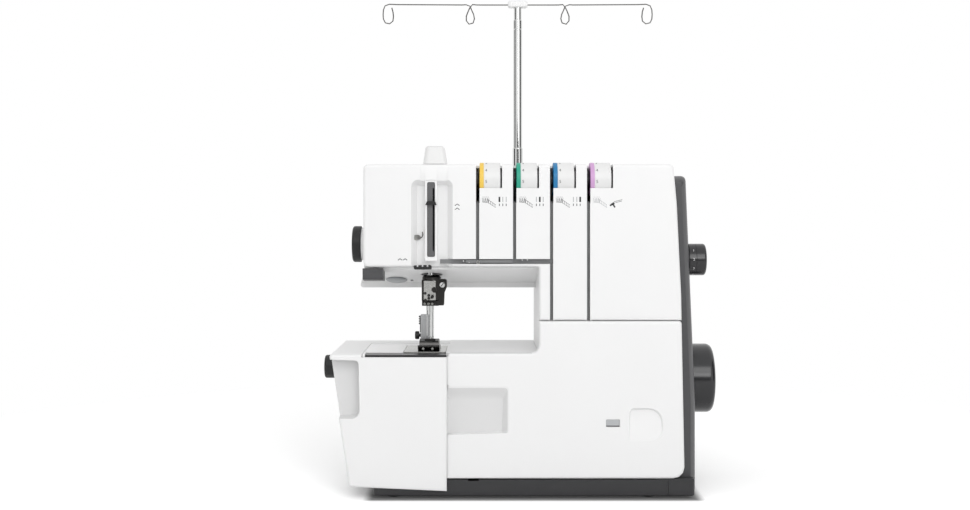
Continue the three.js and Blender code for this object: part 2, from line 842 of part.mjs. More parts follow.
// ---- Main frame: a cast C-shaped plate with bearing arms that reach forwards ----
function mainFrame() {
  const profile = [
    [bedSplitX + 6, 40, 4],
    [casingSplitX - 4, 40, 6],
    [casingSplitX - 4, sideTopZ - 12, 10],
    [headLeftX + 22, sideTopZ - 6, 6],
    [headLeftX + 22, lipZ + 18, 6],
    [pillarX + 10, lipZ + 18, 10],
    [pillarX + 10, bedZ - 10, 10],
    [bedSplitX + 6, bedZ - 10, 4],
  ];
  const recess = rectangle(pillarX + 10 + frameRim, casingSplitX - 20, bedZ + 4, headBottomZ - 3, 8);
  const plate = cut(
    prism("y", profile, frameFrontY, frameFrontY + frameThickness, 3),
    prism("y", recess, frameFrontY - 1, frameFrontY + frameThickness - frameWeb, 3),
  );
  const armPlan = rectangle(
    ...widen([needleX, needleX], armHalf),
    deep(needleDepth - 7),
    frameFrontY + 1,
    4,
  );
  const headArms = [needleBarTopZ - 20, headBottomZ + 7].map((z) => prism(
    "z",
    armPlan,
    z,
    z + armHeight,
    2,
  ));
  const bearingSide = rectangle(deep(shaftDepth) - 9, frameFrontY + 1, ...widen([shaftZ, shaftZ], 9), 7);
  const bearings = [
    [bedSplitX + 56, bedSplitX + 68],
    [casingSplitX - 12, casingSplitX - 4],
  ].map((ends) => prism("x", bearingSide, ...ends, 3));
  const looperArmSide = rectangle(looperBossY[0] - 2, frameFrontY + 1, ...widen([looperZ, looperZ], 8), 6);
  const looperArm = prism("x", looperArmSide, looperX + 13, looperX + 23, 2);
  const looperBoss = block([looperX - 7, looperX + 16], looperBossY, widen([looperZ, looperZ], 7));
  const feet = [bedSplitX + 10, casingSplitX - 46].map((x) =>
    block([x, x + 14], [frameFrontY, frameFrontY + frameThickness], [baseFloorZ + gap, 44]),
  );
  const bores = [
    rod("z", [needleX, deep(needleDepth)], needleBarRadius + gap, lipZ, topZ, 20),
    rod("z", [presserX, deep(presserDepth)], presserBarRadius + gap, lipZ, topZ, 20),
    rod("x", [deep(shaftDepth), shaftZ], shaftRadius + gap, bedSplitX, sideX, 20),
    rod("y", [looperX, looperZ], looperShaftRadius + gap, ...widen(looperBossY, 12), 20),
    rod("x", [lifterY, lifterZ], lifterPinRadius + gap, lifterX - 20, lifterX + 20, 16),
  ];
  const earSide = rectangle(frameFrontY + 1, lifterY + 5, ...widen([lifterZ, lifterZ], 5), 4);
  const lifterEars = [-13, 10].map((dx) => prism("x", earSide, lifterX + dx, lifterX + dx + 3, 3));
  const feedArmY = [feedPostY[0] - 5, feedPostY[1] + 5];
  const feedArm = block([looperX - 18, looperX + 22], feedArmY, [looperZ + 6, looperZ + 20]);
  const feedHole = block(
    [feedPostX - 3 - gap, feedPostX + 3 + gap],
    [feedPostY[0] - gap, feedPostY[1] + gap],
    [looperZ, looperZ + 30],
  );
  const arms = [...headArms, ...bearings, looperArm, looperBoss, feedArm, ...lifterEars];
  return cut(join(plate, ...arms, ...feet, tensionUnits()), feedHole, ...bores);
}

// ---- Casings ----
const rearRight = casingSplitX - gap;
const headKnobInner = headLeftX - 5.4;
const knobStemRadius = 5;
const pressurePlace = [deep(pressureKnobDepth), pressureKnobZ];
const rearOutline = (left) => [
  [left - 6, lipZ, 3],
  [pillarX, lipZ],
  [pillarX, coverFootZ + gap],
  [rearRight, coverFootZ + gap],
  [rearRight, topZ - 0.6],
  [left, topZ - 0.6, 6],
  [left, lipZ + 22, 30],
];

function rearCasing() {
  const stations = [
    [casingFrontY, headLeftX, 0],
    [deep(undersideReach), headLeftX - 6, 0],
    [backY - 8, headLeftX - 8, 0],
    [backY - 2.3, headLeftX - 8, 2.3],
    [backY, headLeftX - 8, 8],
  ];
  const shape = (extra, list) =>
    loft("y", list.map(([y, left, t]) => [y, rounded(inset(rearOutline(left), t + extra), 3)]));
  const outer = shape(0, stations);
  const inner = shape(wall, [
    [casingFrontY - 1, headLeftX, 0],
    [deep(undersideReach), headLeftX - 6, 0],
    [backY - 8, headLeftX - 8, 0],
    [backY - wall, headLeftX - 8, 3],
  ]);
  const slopeY = deep(undersideReach);
  const slope = [
    [casingFrontY, undersideZ(casingFrontY)],
    [slopeY, undersideRearZ],
    [slopeY, lipZ],
    [slopeY + wall, lipZ],
    [slopeY + wall, undersideRearZ + wall],
    [casingFrontY, undersideZ(casingFrontY) + wall],
  ];
  const below = [
    [casingFrontY - 5, undersideZ(casingFrontY - 5)],
    [slopeY, undersideRearZ],
    [slopeY, lipZ - 20],
    [casingFrontY - 5, lipZ - 20],
  ];
  const openSide = block(
    [rearRight - wall - 1, rearRight + 1],
    [casingFrontY - 1, backY - wall - 3],
    [coverFootZ + 4, topZ - 4],
  );
  const toBed = block(
    [pillarX - 1, pillarX + wall + 1],
    [casingFrontY - 1, backY - 10],
    [coverFootZ + 4, bedZ - 7],
  );
  const pressureBoss = rod(
    "x",
    pressurePlace,
    pressureKnobRadius - 2.1,
    headKnobInner + gap,
    headLeftX + 1,
    28,
  );
  const shell = cut(outer, inner, openSide, toBed, prism("x", below, headLeftX - 30, pillarX));
  const underside = prism("x", slope, headLeftX - 30, pillarX + 1).intersect(outer);
  const dialWindows = slots.map((x) =>
    block(
      [x, x + slotWidth + dialWindowWidth],
      [casingFrontY - 1, dialY + dialRadius - 3],
      [topZ - 6, topZ + 1],
    ),
  );
  const holes = [
    rod("z", [needleX + 1.5, deep(needleDepth)], 11, lipZ, headBottomZ + 5, 24),
    rod("z", [presserX, deep(presserDepth)], presserBarRadius + gap + 0.4, lipZ, headBottomZ + 5, 20),
    rod("x", pressurePlace, knobStemRadius + gap, headLeftX - 20, headLeftX + 5, 16),
    block([lifterX - 8, lifterX + 8], [backY - wall - 5, backY + 1], [lifterZ - 12, lifterZ + 14]),
    block(
      [pillarX + wall, rearRight + 1],
      [casingFrontY - 1, backY - wall - 3],
      [coverFootZ - 1, coverFootZ + 5],
    ),
  ];
  return cut(join(shell, underside, pressureBoss), ...dialWindows, ...holes);
}

const sideBend = 300;
const dialPadX = sideX - 4;
const stitchPlace = [deep(stitchDialDepth), stitchDialZ];
function sideCasing() {
  const outline = (draw) => [
    [casingSplitX, footHeight],
    [sideX - draw, footHeight, 3],
    [sideX - draw, sideKneeZ, sideBend],
    [sideTopX - draw, sideTopZ - draw, 5],
    [casingSplitX, sideTopZ - draw],
  ];
  const inside = (draw) => [
    [casingSplitX - 1, footHeight + wall],
    [sideX - draw - wall, footHeight + wall, 3],
    [sideX - draw - wall, sideKneeZ, sideBend],
    [sideTopX - draw - wall, sideTopZ - draw - wall, 3],
    [casingSplitX - 1, sideTopZ - draw - wall],
  ];
  const shape = (make, list) => loft("y", list.map(([y, draw]) => [y, rounded(make(draw), 4)]));
  const outer = shape(outline, [
    [casingFrontY, 7.2],
    [deep(19), 3.6],
    [deep(26), 1.1],
    [deep(34), 0],
    [backY - 8, 0],
    [backY - 2.3, 2.3],
    [backY, 8],
  ]);
  const inner = shape(inside, [
    [casingFrontY + wall, 7.2],
    [deep(26), 1.3],
    [deep(34), 0],
    [backY - 8, 0],
    [backY - wall, 3],
  ]);
  const dialPad = rod("x", stitchPlace, stitchDialRadius, sideTopX, dialPadX, 28);
  const side = [sideTopX - 1, sideX + 5];
  const holes = [
    rod("x", [deep(shaftDepth), shaftZ], shaftRadius + 2, ...side, 20),
    rod("x", stitchPlace, 4 + gap, sideTopX - 20, sideX + 5, 16),
    block(side, widen([inletY, inletY], inletHalf[0] + gap), widen([inletZ, inletZ], inletHalf[1] + gap)),
    block(
      side,
      widen([inletY, inletY], switchHalf[0] + gap),
      widen([switchZ, switchZ], switchHalf[1] + gap + 0.5),
    ),
  ];
  return cut(join(cut(outer, inner), dialPad), ...holes);
}

const footPlaces = [baseLeftX + 20, casingSplitX - 18].flatMap((x) =>
  [deep(footInset[0]), backY - footInset[1]].map((y) => [x, y]),
);
const baseFrontY = deep(2.5);
const toeRightX = sideX - 4.5;
const coverSweep = 1.1; // below the looper cover, for its lower edge as it swings
function baseTray() {
  const plan = [
    [baseLeftX, baseFrontY, 6],
    [toeRightX, baseFrontY, 4],
    [toeRightX, casingFrontY - gap],
    [rearRight, casingFrontY - gap],
    [rearRight, backY - 2, 2],
    [baseLeftX, backY - 2, 6],
  ];
  const outer = moulded("z", plan, [[footHeight, 0.8], [footHeight + 0.8, 0], [coverFootZ, 0]], 4);
  const inner = moulded("z", plan, [[baseFloorZ, wall], [coverFootZ + 1, wall]], 3);
  const studs = footPlaces.map(([x, y]) => rod("z", [x, y], 3 + gap, 0, 30, 14));
  const coverRoom = block(
    [baseLeftX + 40, sideX],
    [deep(0), casingFrontY],
    [coverFootZ - coverSweep, coverFootZ + 2],
  );
  const seam = block(
    [casingSplitX - 0.3, casingSplitX + 0.3],
    [deep(0), baseFrontY + 1],
    [0, coverFootZ + 1],
  );
  return cut(outer, inner, coverRoom, seam, ...studs);
}

const rubberFoot = ([x, y]) =>
  turned("z", [x, y], [
    [0, 0],
    [footRadius - 1.2, 0],
    [footRadius, 1.2],
    [footRadius - 0.6, footHeight - gap],
    [3, footHeight - gap],
    [3, baseFloorZ + 1],
    [0, baseFloorZ + 1],
  ], 14);

// ---- Free arm and bed ----
const clothPlateX = [armLeftX + 3, bedSplitX - 4.5];
const clothPlateY = [deep(0), deep(20)];
const clothPlateZ = [bedZ - 3, bedZ - 1];
const needlePlateX = [needleX - 26, bedSplitX - 2];
const needlePlateY = [deep(20.6), deep(88)];
const plateThickness = 2.2;
const armShort = 2; // the arm's front ends before the looper cover

function bedCasing() {
  const armSide = (t) => inset(rectangle(deep(0.6), deep(armDepth), armBottomZ, bedZ, 4), t);
  const arm = loft("x", [
    [armLeftX, rounded(armSide(0.4), 3)],
    [armLeftX + 0.4, rounded(armSide(0), 3)],
    [bedSplitX + 2, rounded(armSide(0), 3)],
  ]);
  const armInside = prism("x", armSide(wall), armLeftX + wall, bedSplitX + 6, 3);
  const bodyFront = rectangle(bedSplitX, pillarX - gap, coverFootZ + gap, bedZ);
  const body = moulded(
    "y",
    bodyFront,
    [[casingFrontY, 0], [backY - 3, 0], [backY - 0.9, 0.9], [backY, 3]],
    2,
  );
  const insideX = [bedSplitX + wall, pillarX - gap - wall];
  const bodyInside = block(
    insideX,
    [casingFrontY - 1, backY - wall],
    [coverFootZ + gap + wall, bedZ - wall],
  );
  const ledges = [
    block(widen(clothPlateX, 1), [deep(1), deep(24)], [clothPlateZ[0] - 3, bedZ - 1]),
    block(widen(needlePlateX, 2), [deep(18), needlePlateY[1] + 2], [bedZ - plateThickness - 3, bedZ - 1]),
  ];
  const corner = block(
    [bedSplitX - armShort, bedSplitX + 5],
    [deep(-1), casingFrontY],
    [armBottomZ - 5, bedZ + 5],
  );
  const shell = cut(
    join(arm, body),
    armInside,
    bodyInside,
    corner,
    block(
      [pillarX - gap - wall - 1, pillarX + 1],
      [casingFrontY - 1, backY - 10],
      [coverFootZ + 4, bedZ - 7],
    ),
  );
  const openings = [
    block(
      [clothPlateX[0] - gap, bedSplitX + 1],
      [deep(-1), casingFrontY],
      [clothPlateZ[0] - gap, bedZ + 1],
    ),
    block(
      [clothPlateX[0] - gap, bedSplitX - 0.2],
      [deep(1), clothPlateY[1] + gap],
      [clothPlateZ[0] - gap, bedZ + 1],
    ),
    block(insideX, [casingFrontY - 1, backY - wall - 3], [coverFootZ - 1, coverFootZ + 5]),
    block(widen(needlePlateX, gap), widen(needlePlateY, gap), [bedZ - plateThickness - gap, bedZ + 1]),
    block([needleX - 20, bedSplitX - 6], [deep(28), deep(82)], [bedZ - 8, bedZ + 1]),
    block([needleX - 30, bedSplitX - 3], [deep(-1), deep(wall + 2)], [armBottomZ + 6, bedZ - 12]),
  ];
  return cut(join(shell, ...ledges.map((ledge) => ledge.intersect(join(arm, body)))), ...openings);
}

const clothPlate = () =>
  prism("z", [
    [clothPlateX[0], clothPlateY[0], 0.6],
    [clothPlateX[1] + 4, clothPlateY[0], 0.4],
    [clothPlateX[1] + 4, clothPlateY[0] + 3, 2],
    [clothPlateX[1], clothPlateY[1]],
    [clothPlateX[0], clothPlateY[1], 1],
  ], ...clothPlateZ, 2);

function needlePlate() {
  const plate = prism(
    "z",
    rectangle(...needlePlateX, ...needlePlateY, 2.5),
    bedZ - plateThickness,
    bedZ,
    3,
  );
  const slotPlan = rectangle(
    ...widen([needleX, needleX], 5.2),
    ...widen([deep(needleDepth), deep(needleDepth)], 1.8),
    1.7,
  );
  const needleSlot = prism("z", slotPlan, bedZ - 5, bedZ + 5, 3);
  const feedSlots = feedRows.map(([x0, x1]) =>
    prism("z", rectangle(x0 - 0.6, x1 + 0.6, feedY[0] - 0.8, feedY[1] + 0.8, 1), bedZ - 5, bedZ + 5, 2),
  );
  return cut(plate, needleSlot, ...feedSlots);
}

function extensionTable() {
  const right = bedSplitX;
  const frontFace = deep(-tableProud);
  const tableBack = backY - tableShort;
  const outline = [
    [right, tableFootZ],
    [tableFootX, tableFootZ + 4.3, 3],
    [tableTopX, bedZ, 2.5],
    [right, bedZ],
  ];
  const outer = moulded("y", outline, [...softEdge(frontFace, 3), [tableBack - 3, 0], [tableBack, 2.6]], 3);
  const lean = (tableFootX - tableTopX) / (bedZ - tableFootZ - 4.3);
  const wide = [
    [right + 20, -40],
    [tableTopX + lean * (bedZ + 40), -40],
    [tableTopX, bedZ],
    [right + 20, bedZ],
  ];
  const inner = prism("y", inset(wide, wall), frontFace + wall, tableBack - wall);
  const grip = [
    [tableTopX - 20, bedZ - 65],
    [headLeftX - 3.1, bedZ - 64, 8],
    [headLeftX - 4.3, bedZ - 6.4, 4],
    [tableTopX - 20, bedZ - 4.6],
  ];
  const gripBack = frontFace + gripDepth;
  const gripWall = prism("y", inset(grip, -wall), frontFace + 1, gripBack + wall, 4).intersect(outer);
  const boss = rod("x", [tableKnobY, tableKnobZ], 8, tableTopX + 0.6, tableTopX + 9, 18);
  const shell = join(cut(outer, inner), gripWall, boss);
  return cut(
    shell,
    moulded("y", grip, [[frontFace - 1, -0.4], [frontFace + 2, 0], [gripBack, 1.5]], 4),
    block(
      [armLeftX - gap, right + 1],
      [frontFace + wall, deep(armDepth) + gap],
      [armBottomZ - 2, bedZ + 1],
    ),
    block([armLeftX - gap, right + 1], [frontFace - 1, deep(10)], [clothPlateZ[0], bedZ + 1]),
    block([tableTopX - 5, right + 1], [tableBack - wall - 1, tableBack + 1], [0, coverFootZ + 3]),
    rod("x", [tableKnobY, tableKnobZ], 4 + gap, tableTopX - 5, tableTopX + 15, 16),
  );
}

// ---- Stitching mechanism ----
const looperX = needleX + 10;
const looperZ = 106;
const looperShaftRadius = 4;
const bladeZ = 136;
const looperBossY = [deep(needleDepth + 27), deep(needleDepth + 43)];
const feedY = [deep(needleDepth + 5), deep(needleDepth + 27)];
const feedRows = [0, 1, 2].map((i) => [needleX - 11 + 8 * i, needleX - 7 + 8 * i]);
const feedPostX = needleX - 2;
const feedPostY = [deep(needleDepth + 46), deep(needleDepth + 52)];

function looper() {
  const shaft = rod("y", [looperX, looperZ], looperShaftRadius, deep(needleDepth + 3), looperBossY[1] + 4, 18);
  const lever = prism("y", [
    [looperX - 6, looperZ - 6, 4],
    [looperX + 6, looperZ - 6, 4],
    [looperX + 9, bladeZ + 1, 3],
    [looperX - 1, bladeZ + 1, 3],
  ], deep(needleDepth + 2.4), deep(needleDepth + 4.6), 3);
  const blade = prism("y", [
    [looperX + 9, bladeZ - 3],
    [looperX + 9, bladeZ + 1],
    [looperX - 6, bladeZ + 1, 6],
    [looperX - 20, bladeZ - 1.6],
    [looperX - 6, bladeZ - 2.4, 6],
  ], deep(needleDepth + 1.3), deep(needleDepth + 2.9), 3);
  return join(shaft, lever, blade);
}

function feedDog() {
  const rows = feedRows.map(([x0, x1]) => {
    const teeth = 8;
    const pitch = (feedY[1] - feedY[0]) / teeth;
    const comb = [[feedY[0], bedZ - 5]];
    for (let k = 0; k < teeth; k += 1) {
      comb.push([feedY[0] + k * pitch, bedZ - 1.8]);
      comb.push([feedY[0] + (k + 0.8) * pitch, bedZ - 0.6]);
    }
    comb.push([feedY[1], bedZ - 1.8], [feedY[1], bedZ - 5]);
    return prism("x", comb, x0, x1);
  });
  const carrier = block([needleX - 12, needleX + 10], [feedY[0], feedY[1] + 4], [bedZ - 13, bedZ - 4.6]);
  const post = block([feedPostX - 3, feedPostX + 3], feedPostY, [looperZ, bedZ - 9]);
  const foot = block([feedPostX - 3, feedPostX + 3], [feedY[1] - 2, feedPostY[1]], [bedZ - 13, bedZ - 9]);
  return join(...rows, carrier, foot, post);
}

const barRod = (x, depth, radius, low, high) => turned("z", [x, deep(depth)], [
  [0, low],
  [radius, low],
  [radius, high - 1],
  [radius - 1, high],
  [0, high],
], 20);

const needleBar = () => barRod(needleX, needleDepth, needleBarRadius, clampTopZ - 6 + gap, needleBarTopZ);

function needleClamp() {
  const y = deep(needleDepth);
  const cap = turned("z", [needleX + 1.5, y], [
    [0, clampTopZ - 5.6],
    [9.6, clampTopZ - 5.6],
    [9.6, clampTopZ - 2],
    [7.5, clampTopZ],
    [0, clampTopZ],
  ], 24);
  const body = prism("x", [
    [y - 9, clampTopZ - 26, 2],
    [y + 6, clampTopZ - 28, 2],
    [y + 6, clampTopZ - 5],
    [y - 9, clampTopZ - 5, 1],
  ], needleX - 8.3, needleX + 8.8, 2);
  const rightBlock = prism("y", [
    [needleX + 7, clampTopZ - 31, 1],
    [needleX + 14.5, clampTopZ - 31, 1],
    [needleX + 15, clampTopZ - 18],
    [needleX + 17.4, clampTopZ - 12, 1],
    [needleX + 17.4, clampTopZ - 4, 2],
    [needleX + 7, clampTopZ - 4],
  ], y - 7, y + 4, 2);
  const tongue = block(
    [needleX - 8.3, needleX + 8.8],
    [y - 3.4, y + 4],
    [needleTopZ - 0.6, clampTopZ - 24],
  );
  const screws = [
    [-4.4, -25.5, 1.6],
    [-0.8, -23.4, 1.6],
    [2.8, -21.4, 1.6],
    [4.4, -14.5, 2.6],
    [12.6, -8.4, 3],
  ].map(([dx, dz, r]) => rod("y", [needleX + dx, clampTopZ + dz], r, y - 11.4, y - 6, 12));
  const bore = rod("z", [needleX, y], needleBarRadius + gap, clampTopZ - 6, clampTopZ + 2, 20);
  const sockets = needles.map((x) => rod("z", [x, y], 0.8 + gap, needleTopZ - 3, clampTopZ - 14, 10));
  return cut(join(cap, body, rightBlock, tongue, ...screws), bore, ...sockets);
}

const needles = [-1, 0, 1].map((i) => needleX + i * needlePitch);
const needle = (x) => turned("z", [x, deep(needleDepth)], [
  [0, needleTopZ - needleLength],
  [0.45, needleTopZ - needleLength + 4],
  [0.45, needleTopZ - 6],
  [0.8, needleTopZ - 4.5],
  [0.8, clampTopZ - 14 - gap],
  [0, clampTopZ - 14 - gap],
], 8);

// The presser bar with its ankle, which holds the foot between a hook and a thumb screw.
const ankleX = [presserX - 9.5, presserX - 1];
const anklePivot = [deep(presserDepth - 4), footTopZ + 2.5];
function presserBar() {
  const y = deep(presserDepth);
  const bar = barRod(presserX, presserDepth, presserBarRadius, footTopZ - 1, presserBarTopZ);
  const ankle = block(ankleX, [y - 8, y + 4], [footTopZ - 2, footTopZ + 24.2]);
  const left = ankleX[0];
  const rack = [0, 1, 2, 3].map((i) => {
    const z = footTopZ + 14.2 + 2.4 * i;
    return block([left - 2, left + 1], [y - 4, y], [z, z + 1.5]);
  });
  const screw = turned("x", [y - 3, footTopZ + 2.7], [
    [0, left - 6],
    [3.3, left - 6],
    [4.2, left - 5],
    [4.2, left - 1.6],
    [1.8, left - 1.6],
    [1.8, left + 1],
    [0, left + 1],
  ], 16);
  return join(bar, ankle, ...rack, screw);
}

function presserFoot() {
  const [x0, x1] = [presserX - footWidth / 2, presserX + footWidth / 2];
  const front = deep(26);
  const back = deep(72);
  const sole = prism("x", [
    [front - 3, soleZ + 5, 1],
    [front + 3, soleZ],
    [back, soleZ],
    [back, soleZ + 2.4, 1],
    [front + 6, soleZ + 2.4, 4],
    [front - 2, soleZ + 6.6, 1],
  ], x0, x1, 2);
  const tower = prism("x", [
    [deep(36), soleZ + 1],
    [deep(68), soleZ + 1],
    [deep(68), footTopZ - 3, 2],
    [deep(50), footTopZ, 3],
    [deep(38), footTopZ - 2, 3],
  ], x0 + 1, x1 - 1, 2);
  const openingPlan = rectangle(
    ...widen([needleX, needleX], 5.6),
    deep(needleDepth - 5),
    deep(needleDepth + 4),
    2,
  );
  const opening = prism("z", openingPlan, soleZ - 2, footTopZ + 5, 2);
  const clevis = block(widen(ankleX, gap), [anklePivot[0] - 5, deep(72)], [soleZ + 3, footTopZ + 6]);
  const barRoom = rod(
    "z",
    [presserX, deep(presserDepth)],
    presserBarRadius + 1,
    footTopZ - 6,
    footTopZ + 6,
    16,
  );
  return cut(join(sole, tower), opening, clevis, barRoom);
}

const lifterX = presserX + 24;
const lifterY = backY - lifterBehind;
const lifterZ = 226;
const lifterPinRadius = 3;
function lifterLever() {
  const pin = rod("x", [lifterY, lifterZ], lifterPinRadius, lifterX - 13, lifterX + 13, 16);
  const hub = rod("x", [lifterY, lifterZ], 5.5, lifterX - 7, lifterX + 7, 16);
  const handle = prism("x", [
    [lifterY - 2, lifterZ - 4, 1],
    [backY + 14, lifterZ - 12, 8],
    [backY + 44, lifterZ - 16, 3],
    [backY + 44, lifterZ - 10, 3],
    [backY + 16, lifterZ - 5, 8],
    [lifterY - 2, lifterZ + 4, 1],
  ], lifterX - 6, lifterX + 6, 3);
  return join(pin, hub, handle);
}

// ---- Knobs, wheel and drive ----
// A turned knob on the X axis, from its inner to its outer end, on a stem.
function knob(axisPlace, radius, inner, outer, stem) {
  const way = Math.sign(outer - inner);
  const soft = Math.min(2.6, Math.abs(outer - inner) / 3);
  return turned("x", axisPlace, [
    [0, stem.to],
    [stem.radius, stem.to],
    [stem.radius, inner],
    [radius - 0.6, inner],
    [radius, inner + way * 0.8],
    [radius, outer - way * soft],
    [radius - 0.3 * soft, outer - way * 0.3 * soft],
    [radius - soft, outer],
    [0, outer],
  ], 30);
}

const pressureKnob = () =>
  knob(pressurePlace, pressureKnobRadius, headKnobInner, headKnobInner - pressureKnobLength, {
    radius: knobStemRadius,
    to: headLeftX + 14,
  });
const tableKnobY = deep(tableKnobDepth);
const tableKnob = () =>
  knob([tableKnobY, tableKnobZ], tableKnobRadius, tableTopX + 0.6 - gap, tableTopX - tableKnobShown, {
    radius: 4,
    to: tableTopX + 13,
  });
const stitchLengthDial = () =>
  knob(stitchPlace, stitchDialRadius, dialPadX + gap, dialPadX + stitchDialLength, {
    radius: 4,
    to: sideTopX - 14,
  });

function handwheel() {
  const inner = wheelOuterX - wheelWidth;
  const axle = [deep(shaftDepth), shaftZ];
  const bore = shaftRadius + 0.05;
  return turned("x", axle, [
    [bore, inner],
    [wheelRadius - 3, inner],
    [wheelRadius - 1, inner + 1],
    [wheelRadius, inner + 6],
    [wheelRadius, wheelOuterX - 5],
    [wheelRadius - 1.2, wheelOuterX - 1.6],
    [wheelRadius - 4.4, wheelOuterX],
    [wheelRadius - 9, wheelOuterX - 1],
    [wheelRadius - 11, wheelOuterX - 4],
    [bore + 6, wheelOuterX - 4],
    [bore, wheelOuterX - 4],
    [bore, inner],
  ], 40);
}

function mainShaft() {
  const axle = [deep(shaftDepth), shaftZ];
  const left = bedSplitX + 18;
  return turned("x", axle, [
    [0, left],
    [shaftRadius + 6, left],
    [shaftRadius + 6, left + 8],
    [shaftRadius, left + 8],
    [shaftRadius, beltX - 1],
    [shaftPulleyRadius + 2, beltX - 1],
    [shaftPulleyRadius + 2, beltX],
    [shaftPulleyRadius, beltX],
    [shaftPulleyRadius, beltX + beltWidth],
    [shaftPulleyRadius + 2, beltX + beltWidth],
    [shaftPulleyRadius + 2, beltX + beltWidth + 1],
    [shaftRadius, beltX + beltWidth + 1],
    [shaftRadius, wheelOuterX - 4 - gap],
    [0, wheelOuterX - 4 - gap],
  ], 20);
}

const motorY = deep(motorDepth);
function motor() {
  const can = turned("x", [motorY, motorZ], [
    [0, motorX],
    [motorRadius - 4, motorX],
    [motorRadius, motorX + 4],
    [motorRadius, motorX + motorLength - 12],
    [motorRadius - 7, motorX + motorLength - 4],
    [6, motorX + motorLength - 4],
    [6, motorX + motorLength - 1],
    [0, motorX + motorLength - 1],
  ], 20);
  const saddle = [12, 52].map((offset) =>
    block(
      [motorX + offset, motorX + offset + 12],
      [motorY - 22, motorY + 22],
      [baseFloorZ + gap, motorZ - 8],
    ),
  );
  return join(can, ...saddle);
}

const motorPulley = () => turned("x", [motorY, motorZ], [
  [0, motorX + motorLength - 1 + gap],
  [3, motorX + motorLength - 1 + gap],
  [3, beltX - 1],
  [motorPulleyRadius + 1.6, beltX - 1],
  [motorPulleyRadius + 1.6, beltX - 0.2],
  [motorPulleyRadius, beltX],
  [motorPulleyRadius, beltX + beltWidth],
  [motorPulleyRadius + 1.6, beltX + beltWidth + 0.2],
  [motorPulleyRadius + 1.6, beltX + beltWidth + 1],
  [0, beltX + beltWidth + 1],
], 20);

// The outline of a belt round both pulleys: two arcs joined by their common tangents.
function beltLoop(extra) {
  const small = new THREE.Vector2(motorY, motorZ);
  const large = new THREE.Vector2(deep(shaftDepth), shaftZ);
  const line = large.clone().sub(small);
  const along = line.angle();
  const spread = Math.acos((motorPulleyRadius - shaftPulleyRadius) / line.length());
  const arc = (centre, radius, from, to, steps) =>
    [...Array(steps + 1).keys()].map((k) => {
      const angle = from + ((to - from) * k) / steps;
      return new THREE.Vector2(centre.x + radius * Math.cos(angle), centre.y + radius * Math.sin(angle));
    });
  return [
    ...arc(large, shaftPulleyRadius + extra, along - spread, along + spread, 20),
    ...arc(small, motorPulleyRadius + extra, along + spread, along - spread + 2 * Math.PI, 10),
  ];
}

function driveBelt() {
  const band = (extra, from, to) => loft("x", [[from, beltLoop(extra)], [to, beltLoop(extra)]]);
  const [from, to] = [beltX + 0.4, beltX + beltWidth - 0.4];
  return cut(band(gap + beltThickness, from, to), band(gap, from - 1, to + 1));
}

// ---- Mains inlet and switch ----
function powerInlet() {
  const face = sideX + 1.4;
  const rim = 2;
  const [y, z] = inletHalf;
  const around = (by) => [...widen([inletY, inletY], y + by), ...widen([inletZ, inletZ], z + by)];
  const flange = prism("x", rectangle(...around(rim), 3), sideX + gap, face, 3);
  const body = prism("x", rectangle(...around(0)), sideX - 20, sideX + 1);
  const socket = prism("x", [
    [inletY - 11, inletZ - 7],
    [inletY + 11, inletZ - 7],
    [inletY + 11, inletZ + 3],
    [inletY + 7, inletZ + 7],
    [inletY - 7, inletZ + 7],
    [inletY - 11, inletZ + 3],
  ], sideX - 16, face + 1);
  const pins = [inletY - 5.5, inletY + 5.5].map((at) =>
    block([sideX - 17, sideX - 3], widen([at, at], 1), widen([inletZ, inletZ], 2.5)),
  );
  return join(cut(join(flange, body), socket), ...pins);
}

const powerSwitch = () =>
  prism("y", [
    [sideX - 9, switchZ - switchHalf[1], 1],
    [sideX - 1, switchZ - switchHalf[1], 1],
    [sideX + 1, switchZ, 6],
    [sideX + 2.6, switchZ + switchHalf[1], 1],
    [sideX - 9, switchZ + switchHalf[1], 1],
  ], ...widen([inletY, inletY], switchHalf[0]), 2);

// ---- Thread stand ----
const trayFrontY = backY + gap;
const trayBackY = trayFrontY + trayReach;
const trayThickness = 3;
const coneY = backY + coneBehind;
const coneX = [-outerLoopX, -innerLoopX, innerLoopX, outerLoopX].map((x) => poleX + x);

function spoolTray() {
  const plan = [
    [trayLeftX, trayFrontY, 3],
    [trayRightX, trayFrontY, 3],
    [trayRightX, trayBackY, 18],
    [trayLeftX, trayBackY, 18],
  ];
  const outer = moulded(
    "z",
    plan,
    [[trayZ - trayThickness - 4, 2], [trayZ - trayThickness - 2, 0], [trayZ + 8, 0]],
    4,
  );
  const dish = moulded("z", plan, [[trayZ, wall], [trayZ + 9, wall]], 4);
  const underneath = moulded(
    "z",
    plan,
    [[trayZ - trayThickness - 5, wall + 2], [trayZ - trayThickness, wall + 2]],
    4,
  );
  const bracket = (x) => prism("x", [
    [trayFrontY, trayZ - 44, 2],
    [trayFrontY + 6, trayZ - 44, 2],
    [trayFrontY + 70, trayZ - trayThickness],
    [trayFrontY, trayZ - trayThickness],
  ], x, x + 4, 2);
  const brackets = [trayLeftX + 40, trayRightX - 44].map(bracket);
  const socket = rod("z", [poleX, poleY], baseTubeRadius + 4, trayZ - 18, trayZ + 14, 24);
  const seats = coneX.map((x) => rod("z", [x, coneY], 7, trayZ - trayThickness, trayZ + 1.6, 18));
  const bores = [
    rod("z", [poleX, poleY], baseTubeRadius + gap, trayZ - 30, trayZ + 20, 24),
    ...coneX.map((x) => rod("z", [x, coneY], 3 + gap, trayZ - 10, trayZ + 5, 14)),
  ];
  return cut(join(cut(outer, dish, underneath), ...brackets, socket, ...seats), ...bores);
}

